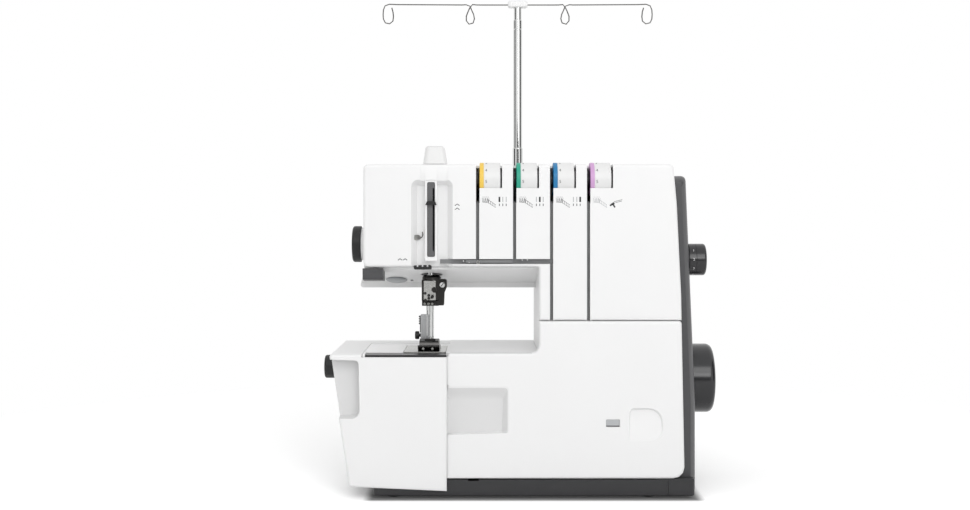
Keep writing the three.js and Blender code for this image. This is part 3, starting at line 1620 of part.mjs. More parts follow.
// A cone pin: a stud in the tray, a ribbed seat for the cone and a tapered pin.
const conePin = (x) => {
  const low = trayZ + 1.6 + gap;
  const pin = turned("z", [x, coneY], [
    [0, trayZ - trayThickness],
    [3, trayZ - trayThickness],
    [3, low],
    [15, low],
    [15, low + 2],
    [5, low + 3],
    [3.4, low + 6],
    [2.6, low + conePinHeight - 2],
    [1.4, low + conePinHeight],
    [0, low + conePinHeight],
  ], 12);
  const finShape = new THREE.Shape(rounded([[0, 0], [12, 0], [8.5, 34, 3], [0, 38]], 2));
  const fins = [0, 1, 2].map((i) =>
    solid(
      new THREE.ExtrudeGeometry(finShape, { depth: 1.6, bevelEnabled: false })
        .translate(0, 0, -0.8)
        .rotateX(Math.PI / 2)
        .rotateZ((2 * Math.PI * i) / 3)
        .translate(x, coneY, low + 1),
    ),
  );
  return join(pin, ...fins);
};

const tube = (outer, inner, low, high, lip) => turned("z", [poleX, poleY], [
  [inner, low],
  [outer, low],
  [outer, high - 3],
  [outer, high - 1],
  [outer - lip, high],
  [inner, high],
  [inner, low],
], 18);
const baseTube = () => tube(baseTubeRadius, middleTubeRadius + gap / 2, baseTubeLowZ, baseTubeTopZ, 0.2);
const middleTube = () => tube(
  middleTubeRadius,
  topTubeRadius + gap / 2,
  baseTubeTopZ - tubeOverlap,
  middleTubeTopZ,
  0.2,
);

function topTube() {
  return rod("z", [poleX, poleY], topTubeRadius, middleTubeTopZ - tubeOverlap, holderZ + 1, 18);
}

const holderTopZ = holderZ + holderHeight;
function wireHolder() {
  const plan = rectangle(poleX - holderWidth / 2, poleX + holderWidth / 2, poleY - 7, poleY + 7, 3);
  const body = moulded(
    "z",
    plan,
    [[holderZ, 1], [holderZ + 1, 0], [holderTopZ - 1.2, 0], [holderTopZ, 1.2]],
    3,
  );
  const bores = [
    rod("z", [poleX, poleY], topTubeRadius + 0.05, holderZ - 1, holderZ + 1 + gap, 24),
    rod("x", [poleY, wireZ], wireRadius + 0.1, poleX - holderWidth, poleX + holderWidth, 8),
  ];
  return cut(body, ...bores);
}

// One bent wire: it runs out to each side, dips round a pear-shaped eyelet and ends in a long open loop.
const wireZ = holderZ + 3;
const pearHeight = 22;
const pearHalf = 4.6;
const endLoopWidth = 10.4;
const endLoopHeight = 21;
function guideWire() {
  const side = (way) => {
    const at = (dx, dz, dy = 0) => new THREE.Vector3(poleX + way * dx, poleY + dy, wireZ + dz);
    const pear = [
      at(innerLoopX - 1.4, 0, -0.9),
      at(innerLoopX + 1.2, -5, -0.9),
      at(innerLoopX + pearHalf, -pearHeight * 0.62, -0.4),
      at(innerLoopX + pearHalf * 0.8, -pearHeight * 0.9),
      at(innerLoopX, -pearHeight),
      at(innerLoopX - pearHalf * 0.8, -pearHeight * 0.9),
      at(innerLoopX - pearHalf, -pearHeight * 0.62, 0.4),
      at(innerLoopX - 1.2, -5, 0.9),
      at(innerLoopX + 1.4, 0, 0.9),
    ];
    const left = outerLoopX - endLoopWidth / 2;
    const right = outerLoopX + endLoopWidth / 2;
    const end = [
      at(left - 6, 0.6, 0.9),
      at(right - 3, 0.4, 0.9),
      at(right, -3, 0.9),
      at(right, -endLoopHeight + 3, 0.3),
      at(right - 3, -endLoopHeight, 0),
      at(left + 3, -endLoopHeight, 0),
      at(left, -endLoopHeight + 3, -0.4),
      at(left, -8, -0.9),
      at(left + 1.4, -3.2, -0.9),
    ];
    return [
      at(holderWidth / 2 - 6, 0),
      at(innerLoopX - 8, 0, -0.3),
      ...pear,
      at(innerLoopX + 9, 0.2, 0.9),
      ...end,
    ];
  };
  const points = [...side(-1).reverse(), ...side(1)];
  return bent(new THREE.CatmullRomCurve3(points, false, "centripetal"), wireRadius, 96, 5);
}

// ---- The assembly ----
part("looper_cover", looperCover(), whitePlastic);
part("cover_hinge", coverHinge(), steel);
part("rear_casing", rearCasing(), whitePlastic);
part("side_casing", sideCasing(), darkPlastic);
part("base_tray", baseTray(), darkPlastic);
footPlaces.forEach((at, i) => part(`rubber_foot_${i + 1}`, rubberFoot(at), darkRubber));
part("bed_casing", bedCasing(), whitePlastic);
part("cloth_plate", clothPlate(), darkPlastic);
part("needle_plate", needlePlate(), steel);
part("extension_table", extensionTable(), whitePlastic);
part("table_lock_knob", tableKnob(), darkPlastic);
part("main_frame", mainFrame(), castAlloy);
slots.forEach((x, i) => {
  part(`tension_dial_${i + 1}`, tensionDial(i), paleInsert);
  part(`tension_discs_${i + 1}`, tensionDiscs(i), steel);
});
part("looper", looper(), steel);
part("feed_dog", feedDog(), steel);
part("needle_bar", needleBar(), chrome);
part("needle_clamp", needleClamp(), steel);
["left", "middle", "right"].forEach((name, i) => part(`needle_${name}`, needle(needles[i]), chrome));
part("presser_bar", presserBar(), steel);
part("presser_foot", presserFoot(), steel);
part("lifter_lever", lifterLever(), darkPlastic);
part("pressure_knob", pressureKnob(), darkPlastic);
part("stitch_length_dial", stitchLengthDial(), darkPlastic);
part("handwheel", handwheel(), darkPlastic);
part("main_shaft", mainShaft(), steel);
part("motor", motor(), castAlloy);
part("motor_pulley", motorPulley(), blackPlastic);
part("drive_belt", driveBelt(), darkRubber);
part("power_inlet", powerInlet(), blackPlastic);
part("power_switch", powerSwitch(), blackPlastic);
part("spool_tray", spoolTray(), whitePlastic);
coneX.forEach((x, i) => part(`cone_pin_${i + 1}`, conePin(x), paleInsert));
part("stand_base_tube", baseTube(), chrome);
part("stand_middle_tube", middleTube(), chrome);
part("stand_top_tube", topTube(), chrome);
part("wire_holder", wireHolder(), whitePlastic);
part("guide_wire", guideWire(), steel);

export default machine;
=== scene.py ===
import itertools
import json
import math

import bmesh
import bpy
from mathutils import Matrix, Vector

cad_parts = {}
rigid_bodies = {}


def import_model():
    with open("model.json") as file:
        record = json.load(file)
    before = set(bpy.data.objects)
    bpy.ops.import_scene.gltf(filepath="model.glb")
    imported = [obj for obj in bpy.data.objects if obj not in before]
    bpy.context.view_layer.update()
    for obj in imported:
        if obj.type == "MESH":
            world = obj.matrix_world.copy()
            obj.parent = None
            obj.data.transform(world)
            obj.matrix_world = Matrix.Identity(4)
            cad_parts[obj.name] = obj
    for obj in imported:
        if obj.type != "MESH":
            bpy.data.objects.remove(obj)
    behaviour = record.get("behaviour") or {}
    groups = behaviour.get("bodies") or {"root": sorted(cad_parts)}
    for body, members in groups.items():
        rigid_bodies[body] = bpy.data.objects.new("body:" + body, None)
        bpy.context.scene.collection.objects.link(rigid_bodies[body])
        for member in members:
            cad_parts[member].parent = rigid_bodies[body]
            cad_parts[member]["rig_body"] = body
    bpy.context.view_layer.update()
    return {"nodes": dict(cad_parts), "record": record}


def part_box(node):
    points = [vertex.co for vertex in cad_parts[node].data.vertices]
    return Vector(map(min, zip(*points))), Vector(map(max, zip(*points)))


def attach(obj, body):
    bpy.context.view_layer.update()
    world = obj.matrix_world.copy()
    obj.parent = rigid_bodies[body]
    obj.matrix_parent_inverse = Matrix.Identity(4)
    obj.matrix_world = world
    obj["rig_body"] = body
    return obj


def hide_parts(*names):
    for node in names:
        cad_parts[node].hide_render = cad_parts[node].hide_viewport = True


mm = 0.001
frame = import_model()
scene = bpy.context.scene
scene.view_settings.view_transform = "Standard"
print("frame loaded:", len(frame["nodes"]), "nodes")

# the camera stands level with the lower half of the head and looks straight at the front
cameraPlace = {
    "distance": 1.35,  # from the plane of the front covers
    "across": -0.040,
    "height": 0.285,
    "lens": 50.1,
    "sensorWidth": 36,
    "shiftY": -0.0412,
    "clipEnd": 20,
}
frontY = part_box("upper_front_cover")[0].y


def placeCamera(place):
    data = bpy.data.cameras.new("camera")
    data.lens = place["lens"]
    data.sensor_width = place["sensorWidth"]
    data.shift_y = place["shiftY"]
    data.clip_end = place["clipEnd"]
    camera = bpy.data.objects.new("camera", data)
    camera.location = (place["across"], frontY - place["distance"], place["height"])
    camera.rotation_euler = (math.radians(90), 0, 0)
    scene.collection.objects.link(camera)
    scene.camera = camera


placeCamera(cameraPlace)


# an sRGB hex colour as linear light
def linear(hexColour):
    values = [int(hexColour[i : i + 2], 16) / 255 for i in (1, 3, 5)]
    return (*[v / 12.92 if v <= 0.04045 else ((v + 0.055) / 1.055) ** 2.4 for v in values], 1)


# adds one node; an input given as a socket is linked, anything else is set
def addNode(tree, kind, inputs=None, **settings):
    made = tree.nodes.new(kind)
    for key, value in settings.items():
        setattr(made, key, value)
    for key, value in (inputs or {}).items():
        if isinstance(value, bpy.types.NodeSocket):
            tree.links.new(value, made.inputs[key])
        else:
            made.inputs[key].default_value = value
    return made


def emptyTree(owner):
    owner.use_nodes = True
    owner.node_tree.nodes.clear()
    return owner.node_tree


# 1 where a camera, glossy or transmission ray arrives, for the white ground that eye and metal see
def seenDirectly(tree):
    path = addNode(tree, "ShaderNodeLightPath")
    seen = path.outputs["Is Camera Ray"]
    for kind in ("Is Glossy Ray", "Is Transmission Ray"):
        either = {0: seen, 1: path.outputs[kind]}
        seen = addNode(tree, "ShaderNodeMath", either, operation="MAXIMUM").outputs[0]
    return seen


studio = {
    "worldLevel": 0.88,
    "keyPower": 9,
    "keySize": (1.6, 0.7),
    "keyPlace": (0.35, -1.9, 1.3),
    "fillPower": 4,
    "fillSize": (0.6, 0.5),
    "fillPlace": (0.6, -2.2, 0.75),
    "aim": (-0.02, 0, 0.2),
    "floorSize": 6,
    "floorColour": "#F2F2F2",
    "floorLift": 0.18,  # brings the lit floor up to the white behind it and leaves its shadow
    "floorFade": (0.4, 0.85),  # metres from the object over which the paper turns into the white behind it
    "paintedShadowDepth": 0.8,  # how dark the painted contact shadow on the paper gets right under the base, and how far out it reaches
    "paintedShadowReach": 0.013,
    "paintedShadowColour": "#161616",
    "cardColour": "#0A0A0A",
    # black cards beside and in front of the object, seen only as reflections: size and place of each
    "cards": {
        "left": ((0.9, 1.6), (-1.5, -0.35, 0.5)),
        "right": ((0.9, 1.6), (1.5, -0.35, 0.5)),
        "strip": ((0.16, 1.8), (-0.04, -1.7, 0.5)),
        "frontLeft": ((0.8, 1.1), (-0.75, -2.5, 0.02)),
        "frontRight": ((0.9, 1.1), (0.55, -2.5, 0.02)),
    },
}
white = (1, 1, 1, 1)


def addCard(name, size, place, material):
    x, y = size[0] / 2, size[1] / 2
    mesh = bpy.data.meshes.new(name)
    mesh.from_pydata([(-x, -y, 0), (x, -y, 0), (x, y, 0), (-x, y, 0)], [], [(0, 1, 2, 3)])
    mesh.materials.append(material)
    card = bpy.data.objects.new(name, mesh)
    card.location = place
    scene.collection.objects.link(card)
    return card


def lightStudio(s):
    world = bpy.data.worlds.new("studio")
    scene.world = world
    # the finger recesses' floors are painted greyer as shade: faces well behind the front that look to the
    # front
    tree = emptyTree(world)
    seen = addNode(tree, "ShaderNodeBackground", {"Color": white, "Strength": 1.0})
    soft = addNode(tree, "ShaderNodeBackground", {"Color": white, "Strength": s["worldLevel"]})
    ground = {0: seenDirectly(tree), 1: soft.outputs[0], 2: seen.outputs[0]}
    mix = addNode(tree, "ShaderNodeMixShader", ground)
    addNode(tree, "ShaderNodeOutputWorld", {"Surface": mix.outputs[0]})

    for name in ("key", "fill"):
        light = bpy.data.lights.new(name, "AREA")
        light.shape = "RECTANGLE"
        light.size, light.size_y = s[name + "Size"]
        light.energy = s[name + "Power"]
        lamp = bpy.data.objects.new(name, light)
        lamp.location = s[name + "Place"]
        lamp.rotation_euler = (Vector(s["aim"]) - lamp.location).to_track_quat("-Z", "Y").to_euler()
        scene.collection.objects.link(lamp)


# white paper that keeps the object's shadow, has a contact shadow painted in right under the base, and fades
# into the white behind it
def layPaper(s):
    paper = bpy.data.materials.new("white paper sweep")
    tree = emptyTree(paper)
    matt = addNode(tree, "ShaderNodeBsdfDiffuse", {"Color": linear(s["floorColour"]), "Roughness": 1.0})
    paintedShadow = addNode(tree, "ShaderNodeBsdfDiffuse", {"Color": linear(s["paintedShadowColour"]), "Roughness": 1.0})
    lift = addNode(tree, "ShaderNodeEmission", {"Color": white, "Strength": s["floorLift"]})
    far = addNode(tree, "ShaderNodeEmission", {"Color": white, "Strength": 1.0})
    lit = addNode(tree, "ShaderNodeAddShader", {0: matt.outputs[0], 1: lift.outputs[0]})
    place = addNode(tree, "ShaderNodeTexCoord").outputs["Object"]

    # distance from the base's outline, seen from above, which spreads the painted contact shadow
    low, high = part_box("base_tray")
    middle, half = (low + high) / 2, (high - low) / 2
    beside = place
    steps = (("SUBTRACT", middle), ("ABSOLUTE", None), ("SUBTRACT", half), ("MAXIMUM", Vector()))
    for operation, other in steps:
        inputs = {0: beside} if other is None else {0: beside, 1: (other.x, other.y, 0)}
        beside = addNode(tree, "ShaderNodeVectorMath", inputs, operation=operation).outputs["Vector"]
    gap = addNode(tree, "ShaderNodeVectorMath", {0: beside}, operation="LENGTH").outputs["Value"]
    reach = {"Value": gap, "From Max": s["paintedShadowReach"], "To Min": s["paintedShadowDepth"], "To Max": 0}
    under = addNode(tree, "ShaderNodeMapRange", reach, interpolation_type="SMOOTHSTEP")
    # close to the base the paper's colour is painted dark as a contact shadow
    near = addNode(tree, "ShaderNodeMixShader", {0: under.outputs[0], 1: lit.outputs[0], 2: paintedShadow.outputs[0]})

    away = addNode(tree, "ShaderNodeVectorMath", {0: place}, operation="LENGTH").outputs["Value"]
    start, end = s["floorFade"]
    fade = addNode(tree, "ShaderNodeMapRange", {"Value": away, "From Min": start, "From Max": end})
    both = addNode(tree, "ShaderNodeMixShader", {0: fade.outputs[0], 1: near.outputs[0], 2: far.outputs[0]})
    shown = {0: seenDirectly(tree), 1: matt.outputs[0], 2: both.outputs[0]}
    mix = addNode(tree, "ShaderNodeMixShader", shown)
    addNode(tree, "ShaderNodeOutputMaterial", {"Surface": mix.outputs[0]})
    addCard("floor", (s["floorSize"], s["floorSize"]), (0, 0, 0), paper)


# velvet cards put dark edges into chrome, gloss and the sides of the handwheel
def hangCards(s):
    velvet = bpy.data.materials.new("black velvet card")
    tree = emptyTree(velvet)
    nap = addNode(tree, "ShaderNodeBsdfDiffuse", {"Color": linear(s["cardColour"]), "Roughness": 1.0})
    addNode(tree, "ShaderNodeOutputMaterial", {"Surface": nap.outputs[0]})
    for name, (size, place) in s["cards"].items():
        card = addCard(name + "_card", size, place, velvet)
        towards = Vector((s["aim"][0], 0, card.location.z)) - card.location
        card.rotation_euler = towards.to_track_quat("Z", "Y").to_euler()
        card.visible_camera = card.visible_diffuse = False
        card.visible_shadow = card.visible_transmission = False


lightStudio(studio)
layPaper(studio)
hangCards(studio)
print("camera and studio ready")

# millimetres across the dye's clouds, and how far the gloss wanders
plasticLook = {"cloudWidth": 71.43, "wear": 0.04}
# millimetres across the haze, and shares of the roughness in and out of a scratch
metalLook = {"hazeWidth": 16.67, "smoother": 0.7, "rougher": 1.3}


# a moulded plastic: its dye drifts by a hair in slow clouds, and a spark-eroded grain softens its gloss
def mouldedPlastic(name, colour, mottled, roughness, grain, depth, ior=1.53):
    material = bpy.data.materials.new(name)
    tree = emptyTree(material)
    place = addNode(tree, "ShaderNodeTexCoord").outputs["Object"]
    clouds = {"Vector": place, "Scale": 1 / (plasticLook["cloudWidth"] * mm), "Detail": 3, "Roughness": 0.5}
    cloud = addNode(tree, "ShaderNodeTexNoise", clouds).outputs["Fac"]
    drift = {0: cloud, 6: linear(colour), 7: linear(mottled)}
    tone = addNode(tree, "ShaderNodeMix", drift, data_type="RGBA")
    pits = addNode(tree, "ShaderNodeTexNoise", {"Vector": place, "Scale": 1 / (grain * mm), "Detail": 2})
    relief = addNode(tree, "ShaderNodeBump", {"Height": pits.outputs["Fac"], "Distance": depth * mm})
    wear = plasticLook["wear"]
    worn = {"Value": cloud, "To Min": roughness - wear, "To Max": roughness + wear}
    gloss = addNode(tree, "ShaderNodeMapRange", worn)
    look = {"Base Color": tone.outputs[2], "Roughness": gloss.outputs[0], "Normal": relief.outputs[0]}
    body = addNode(tree, "ShaderNodeBsdfPrincipled", {**look, "IOR": ior})
    addNode(tree, "ShaderNodeOutputMaterial", {"Surface": body.outputs[0]})
    return material


# a bare or plated metal: long fine scratches break up the gloss, and handling leaves it a little uneven
def metal(name, colour, dulled, roughness, scratch, stretch, depth):
    material = bpy.data.materials.new(name)
    tree = emptyTree(material)
    place = addNode(tree, "ShaderNodeTexCoord").outputs["Object"]
    run = addNode(tree, "ShaderNodeMapping", {"Vector": place, "Scale": stretch})
    scratches = {"Vector": run.outputs[0], "Scale": 1 / (scratch * mm), "Detail": 3}
    lines = addNode(tree, "ShaderNodeTexNoise", scratches).outputs["Fac"]
    hazy = {"Vector": place, "Scale": 1 / (metalLook["hazeWidth"] * mm), "Detail": 2}
    haze = addNode(tree, "ShaderNodeTexNoise", hazy)
    drift = {0: haze.outputs["Fac"], 6: linear(colour), 7: linear(dulled)}
    tone = addNode(tree, "ShaderNodeMix", drift, data_type="RGBA")
    relief = addNode(tree, "ShaderNodeBump", {"Height": lines, "Distance": depth * mm})
    smooth, rough = roughness * metalLook["smoother"], roughness * metalLook["rougher"]
    gloss = addNode(tree, "ShaderNodeMapRange", {"Value": lines, "To Min": smooth, "To Max": rough})
    look = {"Base Color": tone.outputs[2], "Roughness": gloss.outputs[0], "Normal": relief.outputs[0]}
    body = addNode(tree, "ShaderNodeBsdfPrincipled", {**look, "Metallic": 1.0})
    addNode(tree, "ShaderNodeOutputMaterial", {"Surface": body.outputs[0]})
    return material


# colour and its darker drift, roughness, grain and relief in millimetres, and the refraction if it isn't 1.53
satinWhite = mouldedPlastic("satin white ABS", "#EEEEEE", "#EBEBEB", 0.42, 0.7, 0.012)  # soft, wide gloss
paintedLightWhite = mouldedPlastic("white ABS painted brighter as light", "#F9F9F9", "#F6F6F6", 0.42, 0.7, 0.012)  # the covers' white painted brighter, as light on the bed that the head shades
recessShadeWhite = mouldedPlastic("white ABS with painted recess shade", "#DDDDDD", "#D9D9D9", 0.6, 0.9, 0.03)  # the same white painted greyer, as the shade in the finger recesses; dry
offWhite = mouldedPlastic("off-white ABS", "#E4E4E3", "#E0E0E0", 0.4, 0.7, 0.01)  # a warmer, milky white
charcoal = mouldedPlastic("charcoal ABS", "#464648", "#424244", 0.42, 0.8, 0.02)  # dark, greyed by its gloss
darkGrey = mouldedPlastic("dark grey ABS", "#2C2C2E", "#28282A", 0.34, 0.8, 0.02)  # near black, wet edges
polyamide = mouldedPlastic("black polyamide", "#141416", "#101011", 0.4, 0.6, 0.01)  # deep black, waxy
rubber = mouldedPlastic("dull black rubber", "#1C1C1D", "#161617", 0.8, 0.9, 0.03, 1.52)  # shineless
frosted = mouldedPlastic("frosted polycarbonate", "#85888C", "#7E8286", 0.3, 0.6, 0.005, 1.585)  # hazy
softTouch = mouldedPlastic("soft-touch black", "#0C0C0D", "#0A0A0B", 0.46, 0.6, 0.015)  # velvety black
greyInsert = mouldedPlastic("mid grey ABS", "#5C5C5E", "#585859", 0.45, 0.7, 0.012)  # plain dark grey
channelShadeGrey = mouldedPlastic("grey channel liner with painted shade", "#7B7C7D", "#767778", 0.5, 0.7, 0.012)  # flat; its grey is partly the liner's own and partly painted shade of the deep channels
slate = mouldedPlastic("slate ABS", "#48484A", "#444446", 0.45, 0.7, 0.012)  # a bluish dark grey
polishedGrey = mouldedPlastic("polished dark grey ABS", "#2A2A2C", "#272729", 0.2, 0.8, 0.006)  # glossy
slotShadowBlack = mouldedPlastic("painted slot shadow", "#060606", "#040404", 0.9, 0.9, 0.001, 1.1)  # a black patch painted as the shade inside a slot that isn't cut
# plated and bare metals: colour and its duller drift, roughness, scratch width, its stretch along X, Y and Z
chrome = metal("chrome plate", "#DADBDA", "#D3D4D3", 0.07, 2.5, (1, 1, 0.05), 0.0001)  # a mirror
groundSteel = metal("ground steel", "#8A8B8D", "#808183", 0.3, 0.5, (1, 1, 0.2), 0.004)  # drawn-out shine
castAlloy = metal("cast aluminium", "#9A9C9E", "#8F9193", 0.5, 0.8, (1, 1, 1), 0.02)  # dull, rough
paleAlloy = metal("tumbled aluminium", "#BCBDBE", "#B0B1B2", 0.42, 0.6, (1, 1, 1), 0.01)  # light, silky grey
blackenedSteel = metal("blackened steel", "#444342", "#393837", 0.34, 0.5, (1, 1, 0.3), 0.006)  # oily shine
brightNickel = metal("bright nickel", "#D4D4D1", "#C6C6C3", 0.24, 0.5, (1, 1, 0.3), 0.003)  # warm, bright
satinNickel = metal("satin nickel", "#B5B5B2", "#A9A9A6", 0.3, 0.5, (1, 1, 0.3), 0.004)  # warm, softened
footSteel = metal("phosphated steel", "#5E5D5C", "#525150", 0.32, 0.5, (1, 1, 0.3), 0.004)  # dark grey, dry
wireSteel = metal("drawn steel wire", "#6B6A68", "#605F5D", 0.26, 0.3, (0.1, 1, 1), 0.003)  # bright lines
# inks lie flat and dry on the plastic
greyInk = mouldedPlastic("grey pad-print ink", "#5A5C5E", "#525456", 0.55, 0.3, 0.002)
paleInk = mouldedPlastic("pale grey pad-print ink", "#B4B6B8", "#ACAEB0", 0.55, 0.3, 0.002)
# the black ink also paints the shade inside screw slots
blackInkAndSlotShade = mouldedPlastic("black pad-print ink and painted slot shade", "#232425", "#1E1F20", 0.55, 0.3, 0.002)
whiteInk = mouldedPlastic("white pad-print ink", "#E8E8E8", "#DEDEDE", 0.55, 0.3, 0.002)
# the thread colours of the four dials, in clear satin ABS
dialColours = [
    mouldedPlastic(f"{name} dial ring", colour, shade, 0.4, 0.7, 0.01)
    for name, colour, shade in (
        ("yellow", "#EDC755", "#E9C24F"),
        ("green", "#22A287", "#1E9C82"),
        ("blue", "#1578AE", "#1273A8"),
        ("lilac", "#CFA2D0", "#CA9CCB"),
    )
]
finishes = {  # what each material slot of the record is made of
    "white_shell": satinWhite,
    "pale_moulding": offWhite,
    "dark_shell": charcoal,
    "base_plastic": darkGrey,
    "black_plastic": polyamide,
    "rubber": rubber,
    "lens": frosted,
    "chrome": chrome,
    "steel": groundSteel,
    "alloy": castAlloy,
}
slotOf = {row["node"]: row["material_slot"] for row in frame["record"]["subparts"]}
bodyOf = {node: thing["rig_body"] for node, thing in frame["nodes"].items()}
print("materials ready")


# folds sharper than this many degrees stay edges
softEdge = 40
turnedEdge = 32
weldGap = 0.001 * mm  # points closer than this are one
bevelSegments = 3


# gives a shape its smooth shading, its broken edges and its place on a body
def addPiece(name, shape, material, body, sharp=softEdge, edge=0.0):
    bmesh.ops.recalc_face_normals(shape, faces=shape.faces)
    for face in shape.faces:
        face.smooth = True
    for side in shape.edges:
        side.smooth = side.calc_face_angle(0) < math.radians(sharp)
    mesh = bpy.data.meshes.new(name)
    shape.to_mesh(mesh)
    shape.free()
    for one in material if isinstance(material, list) else [material]:
        mesh.materials.append(one)
    piece = bpy.data.objects.new(name, mesh)
    scene.collection.objects.link(piece)
    if edge:
        bevel = piece.modifiers.new("broken edges", "BEVEL")
        bevel.width = edge * mm
        bevel.segments = bevelSegments
        bevel.limit_method = "ANGLE"
        bevel.angle_limit = math.radians(sharp)
    weighted = piece.modifiers.new("even shading", "WEIGHTED_NORMAL")
    weighted.keep_sharp = True
    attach(piece, body)
    return piece


# millimetres between points that are one, degrees within one flat face and between faces shaded as one
refineLook = {"weld": 0.002, "flat": 0.5, "sharp": 50}


# a piece from a CAD solid: flat faces merged, sharp edges broken, rounded ones shaded as one;
# shadedFaces says which faces, by centre and normal, get the white painted with recess shade
def refined(node, material, edge, shadedFaces):
    shape = bmesh.new()
    shape.from_mesh(frame["nodes"][node].data)
    bmesh.ops.remove_doubles(shape, verts=shape.verts, dist=refineLook["weld"] * mm)
    flat = math.radians(refineLook["flat"])
    bmesh.ops.dissolve_limit(shape, angle_limit=flat, verts=shape.verts, edges=shape.edges)
    for face in shape.faces:
        face.material_index = int(bool(shadedFaces) and shadedFaces(face.calc_center_median(), face.normal))
    finish = [material or finishes[slotOf[node]]] + ([recessShadeWhite] if shadedFaces else [])
    sharp = refineLook["sharp"]
    piece = addPiece(node + "_shape", shape, finish, bodyOf[node], sharp, edge)
    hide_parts(node)


# spins a profile, a list of (radius, place along the axis, material), round axis 0, 1 or 2 through centre
def lathe(shape, axis, centre, profile, sides):
    first, second = (axis + 1) % 3, (axis + 2) % 3
    rings = []
    for radius, along, *_ in profile:
        ring = []
        for k in range(sides if radius > 0.1 * weldGap else 1):
            turn = 2 * math.pi * k / sides
            point = [0.0, 0.0, 0.0]
            point[axis] = along
            point[first] = centre[first] + radius * math.cos(turn)
            point[second] = centre[second] + radius * math.sin(turn)
            ring.append(shape.verts.new(point))
        rings.append(ring)
    for (_, _, *paint), low, high in zip(profile, rings, rings[1:]):
        for k in range(sides):
            after = (k + 1) % sides
            corners = [low[k % len(low)], low[after % len(low)], high[after % len(high)], high[k % len(high)]]
            corners = list(dict.fromkeys(corners))
            if len(corners) > 2:
                shape.faces.new(corners).material_index = paint[0] if paint else 0


def turnedPiece(name, axis, centre, profile, sides, material, body):
    shape = bmesh.new()
    lathe(shape, axis, centre, profile, sides)
    bmesh.ops.remove_doubles(shape, verts=shape.verts, dist=weldGap)
    return addPiece(name, shape, material, body, turnedEdge)


# profile points from a table of (radius, along) in millimetres, along measured from a start on the axis
def outline(start, table):
    return [(radius * mm, start + along * mm) for radius, along in table]


# the same from (how far inside the rim, along)
def rimOutline(radius, start, table, *paint):
    return [(radius - inward * mm, start + along * mm, *paint) for inward, along in table]


# the same from (share of the radius, along)
def dishOutline(radius, start, table):
    return [(radius * share, start + along * mm) for share, along in table]


# a quarter round from the rim up to the face: wide across the radius, tall along the axis
def quarterRound(radius, face, wide, tall, steps):
    turns = [math.radians(90 * k / steps) for k in range(steps + 1)]
    return [(radius - wide * (1 - math.cos(a)), face - tall * (1 - math.sin(a))) for a in turns]


# a point in metres, moved by millimetres
def shifted(point, offset):
    return Vector(point) + Vector(offset) * mm


# a piece of plain blocks, each given by its low and its high corner
def blockPiece(name, blocks, material, body, edge=0.0):
    shape = bmesh.new()
    for block in blocks:
        corners = [shape.verts.new(corner) for corner in itertools.product(*zip(*block))]
        for loop in ((0, 1, 3, 2), (4, 6, 7, 5), (0, 4, 5, 1), (2, 3, 7, 6), (0, 2, 6, 4), (1, 5, 7, 3)):
            shape.faces.new([corners[i] for i in loop])
    return addPiece(name, shape, material, body, softEdge, edge)


# a flat plate across X: its outline is a list of (y, z)
def crossPlate(shape, outer, lowX, highX):
    loops = [[shape.verts.new((x, y, z)) for y, z in outer] for x in (lowX, highX)]
    shape.faces.new(loops[0])
    shape.faces.new(list(reversed(loops[1])))
    for i in range(len(outer)):
        k = (i + 1) % len(outer)
        shape.faces.new([loops[0][i], loops[1][i], loops[1][k], loops[0][k]])


# a round wire along a smooth line through the given points
def tube(shape, points, radius, sides=12, steps=6):
    path = []
    ends = [points[0], *points, points[-1]]
    for a, b, c, d in zip(ends, ends[1:], ends[2:], ends[3:]):
        square, cube = 2 * a - 5 * b + 4 * c - d, 3 * b - a - 3 * c + d
        for k in range(steps):
            t = k / steps
            path.append(0.5 * (2 * b + (c - a) * t + square * t**2 + cube * t**3))
    path.append(points[-1])
    rings = []
    side = (path[1] - path[0]).orthogonal().normalized()
    turns = [2 * math.pi * k / sides for k in range(sides)]
    for i, point in enumerate(path):
        along = (path[min(i + 1, len(path) - 1)] - path[max(i - 1, 0)]).normalized()
        side = (side - along * side.dot(along)).normalized()
        across = along.cross(side)
        ring = [point + radius * (side * math.cos(a) + across * math.sin(a)) for a in turns]
        rings.append([shape.verts.new(place) for place in ring])
    for low, high in zip(rings, rings[1:]):
        for k in range(sides):
            n = (k + 1) % sides
            shape.faces.new([low[k], low[n], high[n], high[k]])
    shape.faces.new(list(reversed(rings[0])))
    shape.faces.new(rings[-1])


inkLift = 0.03 * mm  # how far print stands off its surface
# height of a capital as a share of the letter size, and how fine the figures' mesh is
figureLook = {"capShare": 0.7, "resolution": 4, "cuts": 2}


# flat marks from (points, width): place puts a drawn point (across, up) in millimetres on the object
def strokes(shape, lines, place):
    for points, width in lines:
        for (ax, ay), (bx, by) in zip(points, points[1:]):
            length = math.hypot(bx - ax, by - ay)
            nx, ny = -(by - ay) / length * width / 2, (bx - ax) / length * width / 2
            loop = [(ax + nx, ay + ny), (bx + nx, by + ny), (bx - nx, by - ny), (ax - nx, ay - ny)]
            shape.faces.new([shape.verts.new(place(*p)) for p in loop])


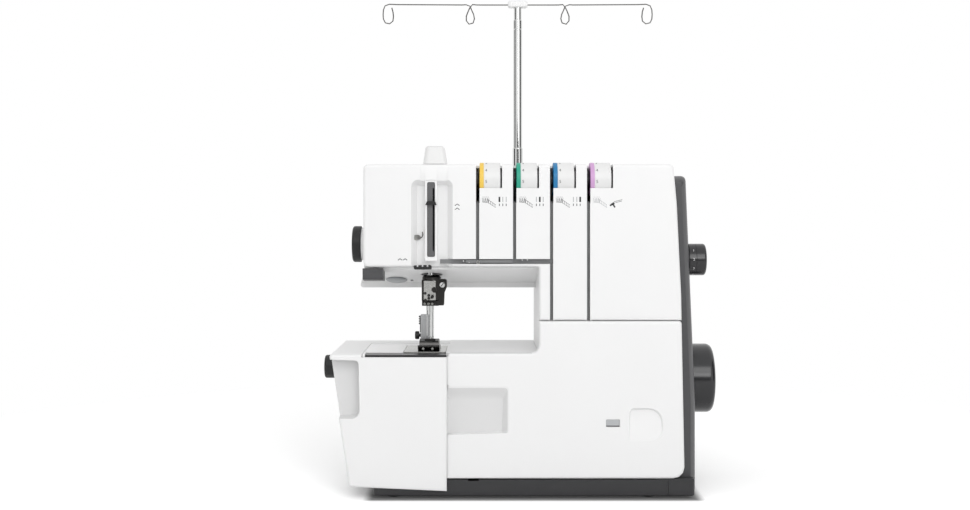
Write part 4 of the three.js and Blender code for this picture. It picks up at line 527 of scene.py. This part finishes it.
# a plain figure as a fine flat mesh, so that it can bend round a drum
def figures(shape, text, height, place):
    curve = bpy.data.curves.new("figure", "FONT")
    curve.body = text
    curve.size = height / figureLook["capShare"]
    curve.align_x = "CENTER"
    curve.align_y = "CENTER"
    curve.resolution_u = figureLook["resolution"]
    holder = bpy.data.objects.new("figure", curve)
    scene.collection.objects.link(holder)
    flat = bpy.data.meshes.new_from_object(holder.evaluated_get(bpy.context.evaluated_depsgraph_get()))
    bpy.data.objects.remove(holder)
    drawn = bmesh.new()
    drawn.from_mesh(flat)
    bmesh.ops.triangulate(drawn, faces=drawn.faces)
    bmesh.ops.subdivide_edges(drawn, edges=drawn.edges, cuts=figureLook["cuts"], use_grid_fill=True)
    made = {vertex: shape.verts.new(place(vertex.co.x, vertex.co.y)) for vertex in drawn.verts}
    for face in drawn.faces:
        shape.faces.new([made[vertex] for vertex in face.verts])
    drawn.free()


# a place on a drum about X for print: across runs along the drum from startX, up runs round it
def onDrum(centre, radius, startX, degrees):
    def place(across, up):
        angle = math.radians(degrees) + up * mm / radius
        reach = radius + inkLift
        return startX + across * mm, centre.y - reach * math.cos(angle), centre.z + reach * math.sin(angle)

    return place


# tension dials: a coloured rim, an off-white drum and the figures printed round it
dialLook = {
    "rimWidth": 4.3,
    "boreRadius": 2.75,
    # (inside the radius, along) from the left end, from the rim's right edge and from the right end
    "rim": ((0.9, 0), (0.25, 0.2), (0, 0.8)),
    "rimEdge": ((0, -0.3),),
    "groove": ((0.35, 0), (0.35, 0.3), (0.05, 0.6)),
    "drumEnd": ((0.05, -0.7), (0.25, -0.2), (0.8, 0)),
    "figureAcross": 6.7,  # from the rim's left end
    "figureHeight": 3.1,
    "figureStep": 40,
    "fiveAt": -8,  # degrees above the horizon where figure 5 stands
    "sides": 96,
}


def buildDial(index, look):
    node = f"tension_dial_{index + 1}"
    low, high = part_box(node)
    centre = (low + high) / 2
    radius = (high.z - low.z) / 2
    bore, rimEdge = look["boreRadius"] * mm, low.x + look["rimWidth"] * mm
    profile = [(bore, low.x, 1)]
    profile += rimOutline(radius, low.x, look["rim"], 1)
    profile += rimOutline(radius, rimEdge, look["rimEdge"], 1)
    profile += rimOutline(radius, rimEdge, look["groove"], 0)
    profile += rimOutline(radius, high.x, look["drumEnd"], 0)
    profile += [(bore, high.x, 0), (bore, low.x, 0)]
    colours = [offWhite, dialColours[index]]
    sides = look["sides"]
    piece = turnedPiece(node + "_drum", 0, centre, profile, sides, colours, bodyOf[node])
    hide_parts(node)

    marks = bmesh.new()
    for figure in range(1, 10):
        degrees = look["fiveAt"] + (5 - figure) * look["figureStep"]
        place = onDrum(centre, radius, low.x + look["figureAcross"] * mm, degrees)
        figures(marks, str(figure), look["figureHeight"], place)
    addPiece(node + "_figures", marks, greyInk, bodyOf[node])


for index in range(len(dialColours)):
    buildDial(index, dialLook)
print("tension dials made")

# round knobs at the left side: length of the grip, radius of the stem and of the edge, with a shallow dish
knobLook = {
    "pressure_knob": {"face": 8.8, "stem": 5.0, "round": 2.4},
    "table_lock_knob": {"face": 11.4, "stem": 4.0, "round": 2.2},
}
knobEnds = {
    "dish": ((0, 0.5), (0.55, 0.45), (0.6, 0.25), (0.66, 0)),  # (share of the radius, depth)
    "backEdge": ((0, -0.6), (0.4, -0.1), (1.2, 0)),
    "roundSteps": 6,
    "sides": 96,
}
collarLook = {"bore": 2.6, "outside": 1.9, "clear": 0.6, "sunk": 0.4}  # radii are inside that of the knob


def buildKnob(node, look, ends):
    low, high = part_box(node)
    centre = (low + high) / 2
    radius = (high.z - low.z) / 2
    inner, soft, stem = low.x + look["face"] * mm, look["round"] * mm, look["stem"] * mm
    profile = dishOutline(radius, low.x, ends["dish"])
    profile += reversed(quarterRound(radius, low.x, soft, -soft, ends["roundSteps"]))
    profile += rimOutline(radius, inner, ends["backEdge"])
    profile += [(stem, inner), (stem, high.x), (0, high.x)]
    sides = ends["sides"]
    piece = turnedPiece(node + "_turned", 0, centre, profile, sides, softTouch, bodyOf[node])
    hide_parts(node)
    return centre, radius, inner


# a collar between the pressure knob and the casing, whose frosted grey stands in for the shade there
def addCollar(centre, radius, inner, look):
    bore, outside = radius - look["bore"] * mm, radius - look["outside"] * mm
    near, far = inner + look["clear"] * mm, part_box("rear_casing")[0].x + look["sunk"] * mm
    profile = [(bore, near), (outside, near), (outside, far), (bore, far), (bore, near)]
    sides = knobEnds["sides"]
    turnedPiece("pressure_knob_shaded_collar", 0, centre, profile, sides, frosted, "machine_body")


for node, look in knobLook.items():
    knob = buildKnob(node, look, knobEnds)
    if node == "pressure_knob":
        addCollar(*knob, collarLook)

# the stitch length dial: a grooved skirt, a round shoulder, a shallow dish and four figures
stitchLook = {
    "stem": 4.0,
    "clear": 3.7,  # how far the skirt reaches into the side casing's recess
    "skirt": ((0.5, 0), (0, 0.5), (0, 7.2), (0.25, 7.4), (0.25, 7.7), (0, 7.9)),  # (inside the radius, along)
    "round": 2.6,
    "dish": ((0.62, 0), (0.56, -0.6), (0, -0.7)),  # (share of the radius, depth)
    "figures": "1234",
    "figureAcross": 4.6,
    "figureHeight": 2.7,
    "step": 34.5,
    "twoAt": 2,  # degrees above the horizon where figure 2 stands
    "roundSteps": 6,
    "sides": 96,
}


def buildStitchDial(look):
    node = "stitch_length_dial"
    low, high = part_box(node)
    centre = (low + high) / 2
    radius = (high.z - low.z) / 2
    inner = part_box("side_casing")[1].x - look["clear"] * mm
    stem, soft = look["stem"] * mm, look["round"] * mm
    profile = [(0, low.x), (stem, low.x), (stem, inner)]
    profile += rimOutline(radius, inner, look["skirt"])
    profile += quarterRound(radius, high.x, soft, soft, look["roundSteps"])
    profile += dishOutline(radius, high.x, look["dish"])
    sides = look["sides"]
    piece = turnedPiece(node + "_turned", 0, centre, profile, sides, polishedGrey, bodyOf[node])
    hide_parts(node)

    marks = bmesh.new()
    for i, figure in enumerate(look["figures"]):
        degrees = (1 - i) * look["step"] + look["twoAt"]
        place = onDrum(centre, radius, inner + look["figureAcross"] * mm, degrees)
        figures(marks, figure, look["figureHeight"], place)
    addPiece(node + "_figures", marks, whiteInk, bodyOf[node])


buildStitchDial(stitchLook)

# the handwheel: a full round rim, a dished web and a hub, all measured from its outer face
wheelLook = {
    "backEdge": ((1.0, 0), (0.3, 0.3), (0, 1.0)),  # (inside the radius, along)
    "fall": 5.2,
    "rise": 6.4,
    "face": 1.6,
    "web": ((0, 0), (1.2, -0.6), (2.4, -5.5)),  # (inside the rim's face, along)
    "hubRadius": 12,
    "hub": ((-2, -4.9), (0, -2.6), (1.5, -2)),  # (inside the hub's radius, along)
    "hubTop": -1.8,
    "roundSteps": 10,
    "sides": 128,
}


def buildWheel(look):
    node = "handwheel"
    low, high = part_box(node)
    centre = (low + high) / 2
    radius = (high.z - low.z) / 2
    outer, fall, rise = high.x, look["fall"] * mm, look["rise"] * mm
    profile = [(0, low.x), *rimOutline(radius, low.x, look["backEdge"])]
    profile += quarterRound(radius, outer, fall, rise, look["roundSteps"])
    profile += rimOutline(radius - fall - look["face"] * mm, outer, look["web"])
    profile += rimOutline(look["hubRadius"] * mm, outer, look["hub"])
    profile += [(0, outer + look["hubTop"] * mm)]
    sides = look["sides"]
    piece = turnedPiece(node + "_turned", 0, centre, profile, sides, polishedGrey, bodyOf[node])
    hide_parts(node)


buildWheel(wheelLook)
print("knobs and wheels made")

# the thread stand's chromed tubes: a rounded, hollow mouth, and a rolled bead near the top of the middle one
tubeLook = {
    "beadDown": {"stand_base_tube": None, "stand_middle_tube": 11.0, "stand_top_tube": None},
    "bead": ((0, -0.7), (0.35, -0.25), (0.35, 0.25), (0, 0.7)),  # (inside the radius, along)
    "mouth": ((0, -1.2), (0.2, -0.5), (0.6, 0), (1.1, 0), (1.1, -0.8)),
    "wall": 1.1,
    "sides": 64,
}


def buildTubes(look):
    for node, beadDown in look["beadDown"].items():
        low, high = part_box(node)
        radius = (high.x - low.x) / 2
        profile = [(radius, low.z)]
        if beadDown:
            profile += rimOutline(radius, high.z - beadDown * mm, look["bead"])
        profile += rimOutline(radius, high.z, look["mouth"])
        profile += [(radius - look["wall"] * mm, low.z), (radius, low.z)]
        name, sides = node + "_turned", look["sides"]
        piece = turnedPiece(name, 2, (low + high) / 2, profile, sides, chrome, bodyOf[node])
        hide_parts(node)


buildTubes(tubeLook)
print("thread stand made")

# the presser bar: chromed rod, grey ankle, its toothed edge and black thumb screw
presserLook = {
    "rodRadius": 4.0,
    "rodIntoFoot": 1.0,
    "rodTop": ((0, -1), (0.6, 0)),  # (inside the radius, along)
    "rodSides": 48,
    "beside": 9.5,  # from the rod's axis to the ankle's left side; the blocks start there, on top of the foot
    "ankle": (((0, -8, -2), (8.5, 4, 24.2)), ((2.2, -8.7, 1), (6.4, -7, 19.2))),
    "ankleEdge": 0.5,
    "tooth": ((-2, -4, 14.2), (0.5, 0, 15.7)),
    "teeth": 4,
    "toothStep": 2.4,
    "strip": ((-0.9, -4, 5.5), (0.5, 0, 23)),
    "rackEdge": 0.2,
    "thumbAxis": (0, -3, 2.7),
    "thumb": ((0, -6), (3.2, -6), (4.2, -5.2), (4.2, -2.2), (3.6, -1.6), (1.8, -1.6), (1.8, 1), (0, 1)),
    "thumbSides": 40,
}


# blocks in metres from blocks in millimetres and the point they start from
def blocksFrom(start, blocks):
    return [[shifted(start, corner) for corner in block] for block in blocks]


def buildPresserBar(look):
    node = "presser_bar"
    body, high = bodyOf[node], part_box(node)[1]
    radius, footTop = look["rodRadius"] * mm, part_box("presser_foot")[1].z
    axis = Vector((high.x - radius, high.y - radius, footTop))
    start = shifted(axis, (-look["beside"], 0, 0))
    end = footTop - look["rodIntoFoot"] * mm
    rod = [(0, end), (radius, end), *rimOutline(radius, high.z, look["rodTop"]), (0, high.z)]
    thumbAxis, thumb = shifted(start, look["thumbAxis"]), outline(start.x, look["thumb"])
    sides = look["thumbSides"]
    ankle, rack = blocksFrom(start, look["ankle"]), []
    for i in range(look["teeth"]):
        rack += blocksFrom(shifted(start, (0, 0, look["toothStep"] * i)), [look["tooth"]])
    rack += blocksFrom(start, [look["strip"]])
    for piece in (
        turnedPiece(node + "_rod", 2, axis, rod, look["rodSides"], chrome, body),
        blockPiece(node + "_ankle", ankle, paleAlloy, body, look["ankleEdge"]),
        blockPiece(node + "_rack", rack, blackenedSteel, body, look["rackEdge"]),
        turnedPiece(node + "_screw", 0, thumbAxis, thumb, sides, softTouch, body),
    ):
        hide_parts(node)


buildPresserBar(presserLook)

# slotted screw heads that face the front, each slot a black mark painted as its shade; the slot's reach and
# width are shares of the radius
screwLook = {
    "proud": 0.9,
    "sunk": 0.6,
    "chamfer": 0.4,
    "slotReach": 0.75,
    "slotWidth": 0.3,
    "slotLift": 0.02,
    "sides": 28,
}


def addScrew(name, place, radius, turn, material, body):
    look = screwLook
    proud, sunk, chamfer = look["proud"], look["sunk"], look["chamfer"]
    head = ((0, -proud), (radius - chamfer, -proud), (radius, chamfer - proud), (radius, sunk), (0, sunk))
    turnedPiece(name, 1, place, outline(place.y, head), look["sides"], material, body)

    def onHead(across, up):
        along = across * math.cos(turn) - up * math.sin(turn)
        over = across * math.sin(turn) + up * math.cos(turn)
        return shifted(place, (along, -proud - look["slotLift"], over))

    reach, width = radius * look["slotReach"], radius * look["slotWidth"]
    mark = bmesh.new()
    strokes(mark, [([(-reach, 0), (reach, 0)], width)], onHead)
    # the slot is a flat black mark painted as the shade in it
    addPiece(name + "_slot", mark, blackInkAndSlotShade, body)


# the needle clamp's plate with its set screws, clamping screws and the ends of the needle screws
clampLook = {
    "beforeNeedle": 9,  # everything is measured from here, at the middle needle and the clamp's top
    "plate": ((-6.2, -0.5, -25.5), (6.0, 2, -5.5)),
    "plateEdge": 0.4,
    # place, radius, turn of the slot in radians, material
    "screws": {
        "screw_1": ((-4.7, -0.6, -18.3), 1.45, 0.3, polyamide),
        "screw_2": ((-1.0, -0.6, -20.4), 1.45, 1.3, polyamide),
        "screw_3": ((2.4, -0.6, -22.5), 1.45, 2.3, polyamide),
        "screw_4": ((4.9, -1.2, -15.4), 2.3, 0.4, blackenedSteel),
        "screw_5": ((12.8, -1.6, -9.6), 2.9, 0.9, chrome),
        "end_1": ((-5.2, -0.2, -29.0), 1.3, 1.2, satinNickel),
        "end_2": ((-1.4, -0.2, -29.0), 1.3, 1.2, satinNickel),
        "end_3": ((2.4, -0.2, -29.0), 1.3, 1.2, satinNickel),
    },
}
# two bright screws in the presser foot's front, placed from the middle of its lower edge
footLook = {
    "screw_1": ((-5.4, 0, 2.6), 1.25, 0.6, brightNickel),
    "screw_2": ((3.9, 0, 2.6), 1.25, 1.6, brightNickel),
}


def addScrews(node, start, screws):
    for name, (place, radius, turn, material) in screws.items():
        addScrew(f"{node}_{name}", shifted(start, place), radius, turn, material, bodyOf[node])


def dressClamp(look):
    node = "needle_clamp"
    needle = sum(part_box("needle_middle"), Vector()) / 2
    start = Vector((needle.x, needle.y - look["beforeNeedle"] * mm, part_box(node)[1].z))
    plate = blocksFrom(start, [look["plate"]])
    blockPiece(node + "_plate", plate, brightNickel, bodyOf[node], look["plateEdge"])
    addScrews(node, start, look["screws"])


def dressFoot(look):
    low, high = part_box("presser_foot")
    addScrews("presser_foot", Vector(((low.x + high.x) / 2, low.y, low.z)), look)


dressClamp(clampLook)
dressFoot(footLook)
print("presser bar and needle clamp made")

# beads, webs and a lid that close the seams between the casings
seamLook = {
    # low corner from the table's right edge, high corner from the looper cover's left edge
    "tableBead": ((-0.7, 0.35, 0.5), (-0.03, 9, -0.5)),
    # the cover's rounded left edge, square above and below the finger pocket: from its lower front end
    "squareEdge": (((0.03, 0.03, 1.2), (3.4, 3.4, 43.6)), ((0.03, 0.03, 94.2), (3.4, 3.4, 122.5))),
    "pocketWeb": ((0, 6.75, 45), (2.7, 9, 93)),
    # the top of the rear casing's open side: from the ends of its right top edge
    "topWeb": ((-2.2, 0.3, -13.5), (-0.1, -3.5, -1.5)),
    # the base tray's corner: from its right front end, at the top
    "trayLid": ((-38, 0.6, -3), (-1, 11, -0.4)),
    "edge": 0.1,
    "lidEdge": 0.2,
}
cheekLook = {
    "x": (0.32, 2.22),  # from the bed casing's right side
    "front": 1.0,  # from the rear casing's front
    "rear": 8.0,  # behind the lamp's lens
    "down": -9.0,  # from the lens into the pillar
    "up": 2.0,
    "slope": -0.21,  # rise per length of the head's underside
}


def closeSeams(look):
    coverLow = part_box("looper_cover")[0]
    coverBody, coverSlot = bodyOf["looper_cover"], slotOf["looper_cover"]
    edge = look["edge"]
    start = Vector((coverLow.x, frontY, coverLow.z))
    low, high = look["tableBead"]
    tableRight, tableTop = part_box("extension_table")[1].x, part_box("cloth_plate")[0].z
    bead = [shifted((tableRight, frontY, coverLow.z), low), shifted((coverLow.x, frontY, tableTop), high)]
    tableBody, tableSlot = bodyOf["extension_table"], slotOf["extension_table"]
    blockPiece("table_edge_bead", [bead], satinWhite, tableBody, edge)
    square = blocksFrom(start, look["squareEdge"])
    blockPiece("looper_cover_square_edge", square, satinWhite, coverBody)
    # the web is in the white painted with recess shade
    web = blocksFrom(start, [look["pocketWeb"]])
    blockPiece("finger_pocket_web", web, recessShadeWhite, coverBody, edge)


# a cheek in the inner corner of head and pillar
def closeCorner(look):
    lensLow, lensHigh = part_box("lamp_lens")
    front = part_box("rear_casing")[0].y + look["front"] * mm
    rear = lensHigh.y + look["rear"] * mm
    lowest, highest = lensLow.z + look["down"] * mm, lensLow.z + look["up"] * mm
    top = [(y, highest + look["slope"] * (y - rear)) for y in (rear, front)]
    near, far = (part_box("bed_casing")[1].x + x * mm for x in look["x"])
    cheek = bmesh.new()
    crossPlate(cheek, [(front, lowest), (rear, lowest), *top], near, far)
    addPiece("head_corner_cheek", cheek, satinWhite, "machine_body")


def closeTops(look):
    casingLow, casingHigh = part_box("rear_casing")
    low, high = look["topWeb"]
    web = [shifted((casingHigh.x, casingLow.y, casingHigh.z), low), shifted(casingHigh, high)]
    blockPiece("casing_top_web", [web], satinWhite, "machine_body", look["edge"])
    trayLow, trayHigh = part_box("base_tray")
    lid = blocksFrom((trayHigh.x, trayLow.y, trayHigh.z), [look["trayLid"]])
    blockPiece("base_tray_lid", lid, darkGrey, "machine_body", look["lidEdge"])


closeSeams(seamLook)
closeCorner(cheekLook)
closeTops(seamLook)

# the sight window's pale plate and its grey foot, from the looper cover's right lower front edge
windowLook = {
    "sight_window_plate": (((-78.75, 0.5, 53.35), (-65.25, 1.3, 59.25)), paleInk),
    "sight_window_foot": (((-78.75, 0.5, 52.25), (-65.25, 1.3, 53.35)), greyInsert),
}


def fillSightWindow(look, edge=0.08):
    low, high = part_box("looper_cover")
    body, slot = bodyOf["looper_cover"], slotOf["looper_cover"]
    for name, (block, material) in look.items():
        blockPiece(name, blocksFrom((high.x, frontY, low.z), [block]), material, body, edge)


fillSightWindow(windowLook)
print("seams closed and sight window filled")

# a ring and round pins in the cross channel
pinLook = {
    "ring": (-47.0, 0, 237.6),
    "ringOutline": ((0.95, 1), (0.855, -0.9), (1.615, -0.9), (1.9, -0.5), (1.9, 1), (0.95, 1)),
    # place and radius
    "beads": (
        ((-61.5, 0, 239.0), 0.9),
        ((-2.8, 0, 240.0), 0.8),
        ((2.4, 0, 240.2), 0.9),
        ((-56.0, 0, 237.4), 0.7),
    ),
    "beadTop": 0.4,
    "beadFoot": 0.6,
    "roundSteps": 6,
    "ringSides": 32,
    "beadSides": 20,
}
# an oval plate with its hook on the recess's drafted side
plateLook = {
    "place": (-108.8, -121.9, 262.4),
    "outline": ((0, -0.4), (5.6, -0.3), (6.1, 0.1), (6.1, 0.5), (0, 0.5)),
    "flattened": 2.7 / 6.1,  # its height as a share of its width
    "degrees": 39,
    "sides": 48,
    "hook": (
        (-106.0, -121.2, 261.6),
        (-103.6, -121.8, 262.8),
        (-102.6, -122.2, 265.4),
        (-103.0, -121.6, 268.0),
    ),
    "hookRadius": 0.5,
    "hookSharp": 60,
}
# a screw in the head's underside, and a black patch painted as the shade of a latch slot in the base's front
bodyLook = {
    "screw": (-117.3, -50.4, 216.0),
    "screwOutline": ((0, -0.5), (1.5, -0.4), (1.5, 0.8), (0, 0.8)),
    "screwSides": 24,
    "latchSlotShadow": ((-57.0, -0.3, 18.7), (-46.2, 1.0, 20.7)),
}
origin = Vector()


def addPins(look):
    body = "machine_body"
    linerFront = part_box("thread_channel_liner")[0].y
    ring = outline(linerFront, look["ringOutline"])
    centre, sides = shifted(origin, look["ring"]), look["ringSides"]
    turnedPiece("cross_channel_ring", 1, centre, ring, sides, brightNickel, body)

    beads = bmesh.new()
    foot = linerFront + look["beadFoot"] * mm
    for place, size in look["beads"]:
        radius = size * mm
        top = linerFront + look["beadTop"] * mm - radius
        dome = reversed(quarterRound(radius, top, radius, -radius, look["roundSteps"]))
        lathe(beads, 1, shifted(origin, place), [*dome, (radius, foot), (0, foot)], look["beadSides"])
    addPiece("cross_channel_beads", beads, chrome, body, turnedEdge)


def addThreadPlate(look):
    body = "machine_body"
    plate = bmesh.new()
    lathe(plate, 1, origin, outline(0, look["outline"]), look["sides"])
    bmesh.ops.scale(plate, vec=(1, 1, look["flattened"]), verts=plate.verts)
    turn = Matrix.Rotation(math.radians(look["degrees"]), 4, "Z")
    seat = Matrix.Translation(shifted(origin, look["place"]))
    bmesh.ops.transform(plate, matrix=seat @ turn, verts=plate.verts)
    addPiece("recess_thread_plate", plate, satinNickel, body, turnedEdge)

    hook = bmesh.new()
    tube(hook, [shifted(origin, point) for point in look["hook"]], look["hookRadius"] * mm)
    addPiece("recess_thread_hook", hook, wireSteel, body, look["hookSharp"])


def dressBody(look):
    place = shifted(origin, look["screw"])
    screw, sides = outline(place.z, look["screwOutline"]), look["screwSides"]
    turnedPiece("underside_screw", 2, place, screw, sides, polyamide, "machine_body")
    # the latch slot is no cut, only a black patch painted as its shade
    latchSlotShadow = blocksFrom((0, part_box("base_tray")[0].y, 0), [look["latchSlotShadow"]])
    blockPiece("base_latch_slot_shadow", latchSlotShadow, slotShadowBlack, "machine_body")


addPins(pinLook)
addThreadPlate(plateLook)
dressBody(bodyLook)
print("thread pins and screws made")

# case screws in the back, each in a low collar, with a cross slot painted black as its shade; the outlines
# start at the back's plane
backLook = {
    "places": ((130, 0, 36), (28, 0, 36), (130, 0, 316), (-12, 0, 316), (-160, 0, 316)),
    "collar": ((3.0, -0.6), (4.6, -0.6), (4.6, 0.3), (4.1, 0.8), (3.4, 0.8), (3.0, 0.3), (3.0, -0.6)),
    "collarSides": 48,
    "head": ((0, -0.6), (2.9, -0.6), (2.9, 0.1), (2.4, 0.45), (0, 0.5)),
    "headSides": 40,
    "slotReach": 1.8,
    "slotWidth": 0.8,
    "slotAt": 0.53,
}


def addBackScrews(look):
    body = "machine_body"
    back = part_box("rear_casing")[1].y
    collars, heads, slots = bmesh.new(), bmesh.new(), bmesh.new()
    reach, width = look["slotReach"], look["slotWidth"]
    cross = [([(-reach, 0), (reach, 0)], width), ([(0, -reach), (0, reach)], width)]
    for place in look["places"]:
        centre = shifted(origin, place)
        lathe(collars, 1, centre, outline(back, look["collar"]), look["collarSides"])
        lathe(heads, 1, centre, outline(back, look["head"]), look["headSides"])

        def onBack(across, up, centre=centre):
            return centre.x + across * mm, back + look["slotAt"] * mm, centre.z + up * mm

        strokes(slots, cross, onBack)
    bmesh.ops.remove_doubles(collars, verts=collars.verts, dist=weldGap)
    addPiece("back_screw_collars", collars, satinWhite, body, turnedEdge)
    addPiece("back_screw_heads", heads, blackenedSteel, body, turnedEdge)
    addPiece("back_screw_painted_slot_shades", slots, blackInkAndSlotShade, body)


addBackScrews(backLook)
print("back screws made")

# signs printed on the covers: chevrons, stitch patterns, needle bars and a looper
signLook = {
    # places, half width, rise and width of the stroke
    "chevrons": (((-67.8, 295.2), (-67.8, 291.2)), 2.3, 1.8, 0.75),
    "lowChevrons": (((-125, 240.6), (-119.9, 240.6)), 2.1, 1.5, 0.85),
    "up": 297.6,
    "patternAcross": (-42.8, -5.8, 31.2, 68.4),  # the last one is pale
    "patternWidth": 0.34,
    "stitches": 4,
    "stitchStep": 1.7,
    "stitch": (((0, 4.6), (0.5, 0.8), (1.3, 0.2), (1.7, 4.6)), ((0.3, 5.4), (1.4, 5.4))),
    "cloth": (((0, 0.4), (6, -0.2), (13.5, -5.2)), ((5.5, 3.2), (13.5, -2.4))),
    "rung": ((6, 2.6), (6.4, -1)),
    "rungStep": ((2.2, -1.5), (2.2, -1.2)),
    "rungs": 4,
    "barsAcross": (-25.6, 11.4, 48.4),
    "bars": 3,
    "barStep": 3.4,
    "bar": ((0, 5.6), (0, 0.4)),
    "barFoot": ((0, -1.2), (0, -3.6)),
    "barWidth": 0.8,
    "chosenWidth": 1.7,
    "looperAt": (84.9, 294.4),
    "looper": ((((1, 1.5), (5, 4.2), (12.5, 6)), 0.5), (((5.5, 3), (12, 4.6)), 0.5)),
    "looperTip": ((((0, 0), (4.6, 2.4)), 1.6), (((3.4, 1), (5, -1.8)), 1.5)),
}


def onCover(across, up):
    return across * mm, frontY - inkLift, up * mm


def movedLine(line, across, up):
    return [(x + across, z + up) for x, z in line]


def chevrons(places, half, rise, width):
    line = ((-half, -rise / 2), (0, rise / 2), (half, -rise / 2))
    return [(movedLine(line, *place), width) for place in places]


def stitchPattern(look, across):
    lines = []
    for i in range(look["stitches"]):
        lines += [movedLine(line, look["stitchStep"] * i, 0) for line in look["stitch"]]
    lines += look["cloth"]
    for i in range(look["rungs"]):
        lines.append([(x + i * dx, z + i * dz) for (x, z), (dx, dz) in zip(look["rung"], look["rungStep"])])
    return [(movedLine(line, across, look["up"]), look["patternWidth"]) for line in lines]


def printSigns(look):
    grey, pale, black = bmesh.new(), bmesh.new(), bmesh.new()
    strokes(grey, chevrons(*look["chevrons"]) + chevrons(*look["lowChevrons"]), onCover)
    *usual, last = look["patternAcross"]
    for across in usual:
        strokes(grey, stitchPattern(look, across), onCover)
    strokes(pale, stitchPattern(look, last), onCover)
    for i, left in enumerate(look["barsAcross"]):
        for k in range(look["bars"]):
            place = (left + look["barStep"] * k, look["up"])
            width = look["chosenWidth"] if i == k else look["barWidth"]
            strokes(black if i == k else pale, [(movedLine(look["bar"], *place), width)], onCover)
            strokes(grey, [(movedLine(look["barFoot"], *place), look["barWidth"])], onCover)
    for shape, key in ((grey, "looper"), (black, "looperTip")):
        strokes(shape, [(movedLine(line, *look["looperAt"]), width) for line, width in look[key]], onCover)
    for name, shape, ink in (("grey", grey, greyInk), ("pale", pale, paleInk), ("black", black, blackInkAndSlotShade)):
        addPiece("signs_" + name, shape, ink, "machine_body")


printSigns(signLook)
print("signs printed")

# pieces that keep the form of their CAD solid: another finish than their slot's, and softer edges than usual
finishOf = {
    "take_up_guide": greyInsert,
    "thread_cutter": slate,
    # the liner's grey partly stands in for the shade deep in the thread channels
    "thread_channel_liner": channelShadeGrey,
    "needle_clamp": blackenedSteel,
    "presser_foot": footSteel,
    "guide_wire": wireSteel,
    "needle_plate": satinNickel,
    # the bed is given the white painted brighter, standing in for light on its shaded top
    "bed_casing": paintedLightWhite,
}
softer = {
    "upper_front_cover": 0.4,
    "looper_cover": 0.4,
    "side_casing": 0.6,
    "extension_table": 0.5,
    "base_tray": 0.5,
}
usualEdge = 0.25
built = {f"tension_dial_{i}" for i in range(1, 5)}
built |= {*knobLook, *tubeLook["beadDown"], "stitch_length_dial", "handwheel", "presser_bar"}
# matted floors of the finger recesses: faces well behind the front that look to the front
recessLook = {
    "nodes": ("looper_cover", "extension_table"),
    "depth": 1.2,
    "pocketWidth": 64,  # from the looper cover's left edge
    "facing": -0.1,
}
recessFrom = frontY + recessLook["depth"] * mm
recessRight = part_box("looper_cover")[0].x + recessLook["pocketWidth"] * mm


def recessFloor(centre, normal):
    return centre.y > recessFrom and normal.y < recessLook["facing"] and centre.x < recessRight


for node in frame["nodes"]:
    if node not in built:
        shadedFaces = recessFloor if node in recessLook["nodes"] else None
        refined(node, finishOf.get(node), softer.get(node, usualEdge), shadedFaces)
print("pieces from the CAD solids made")
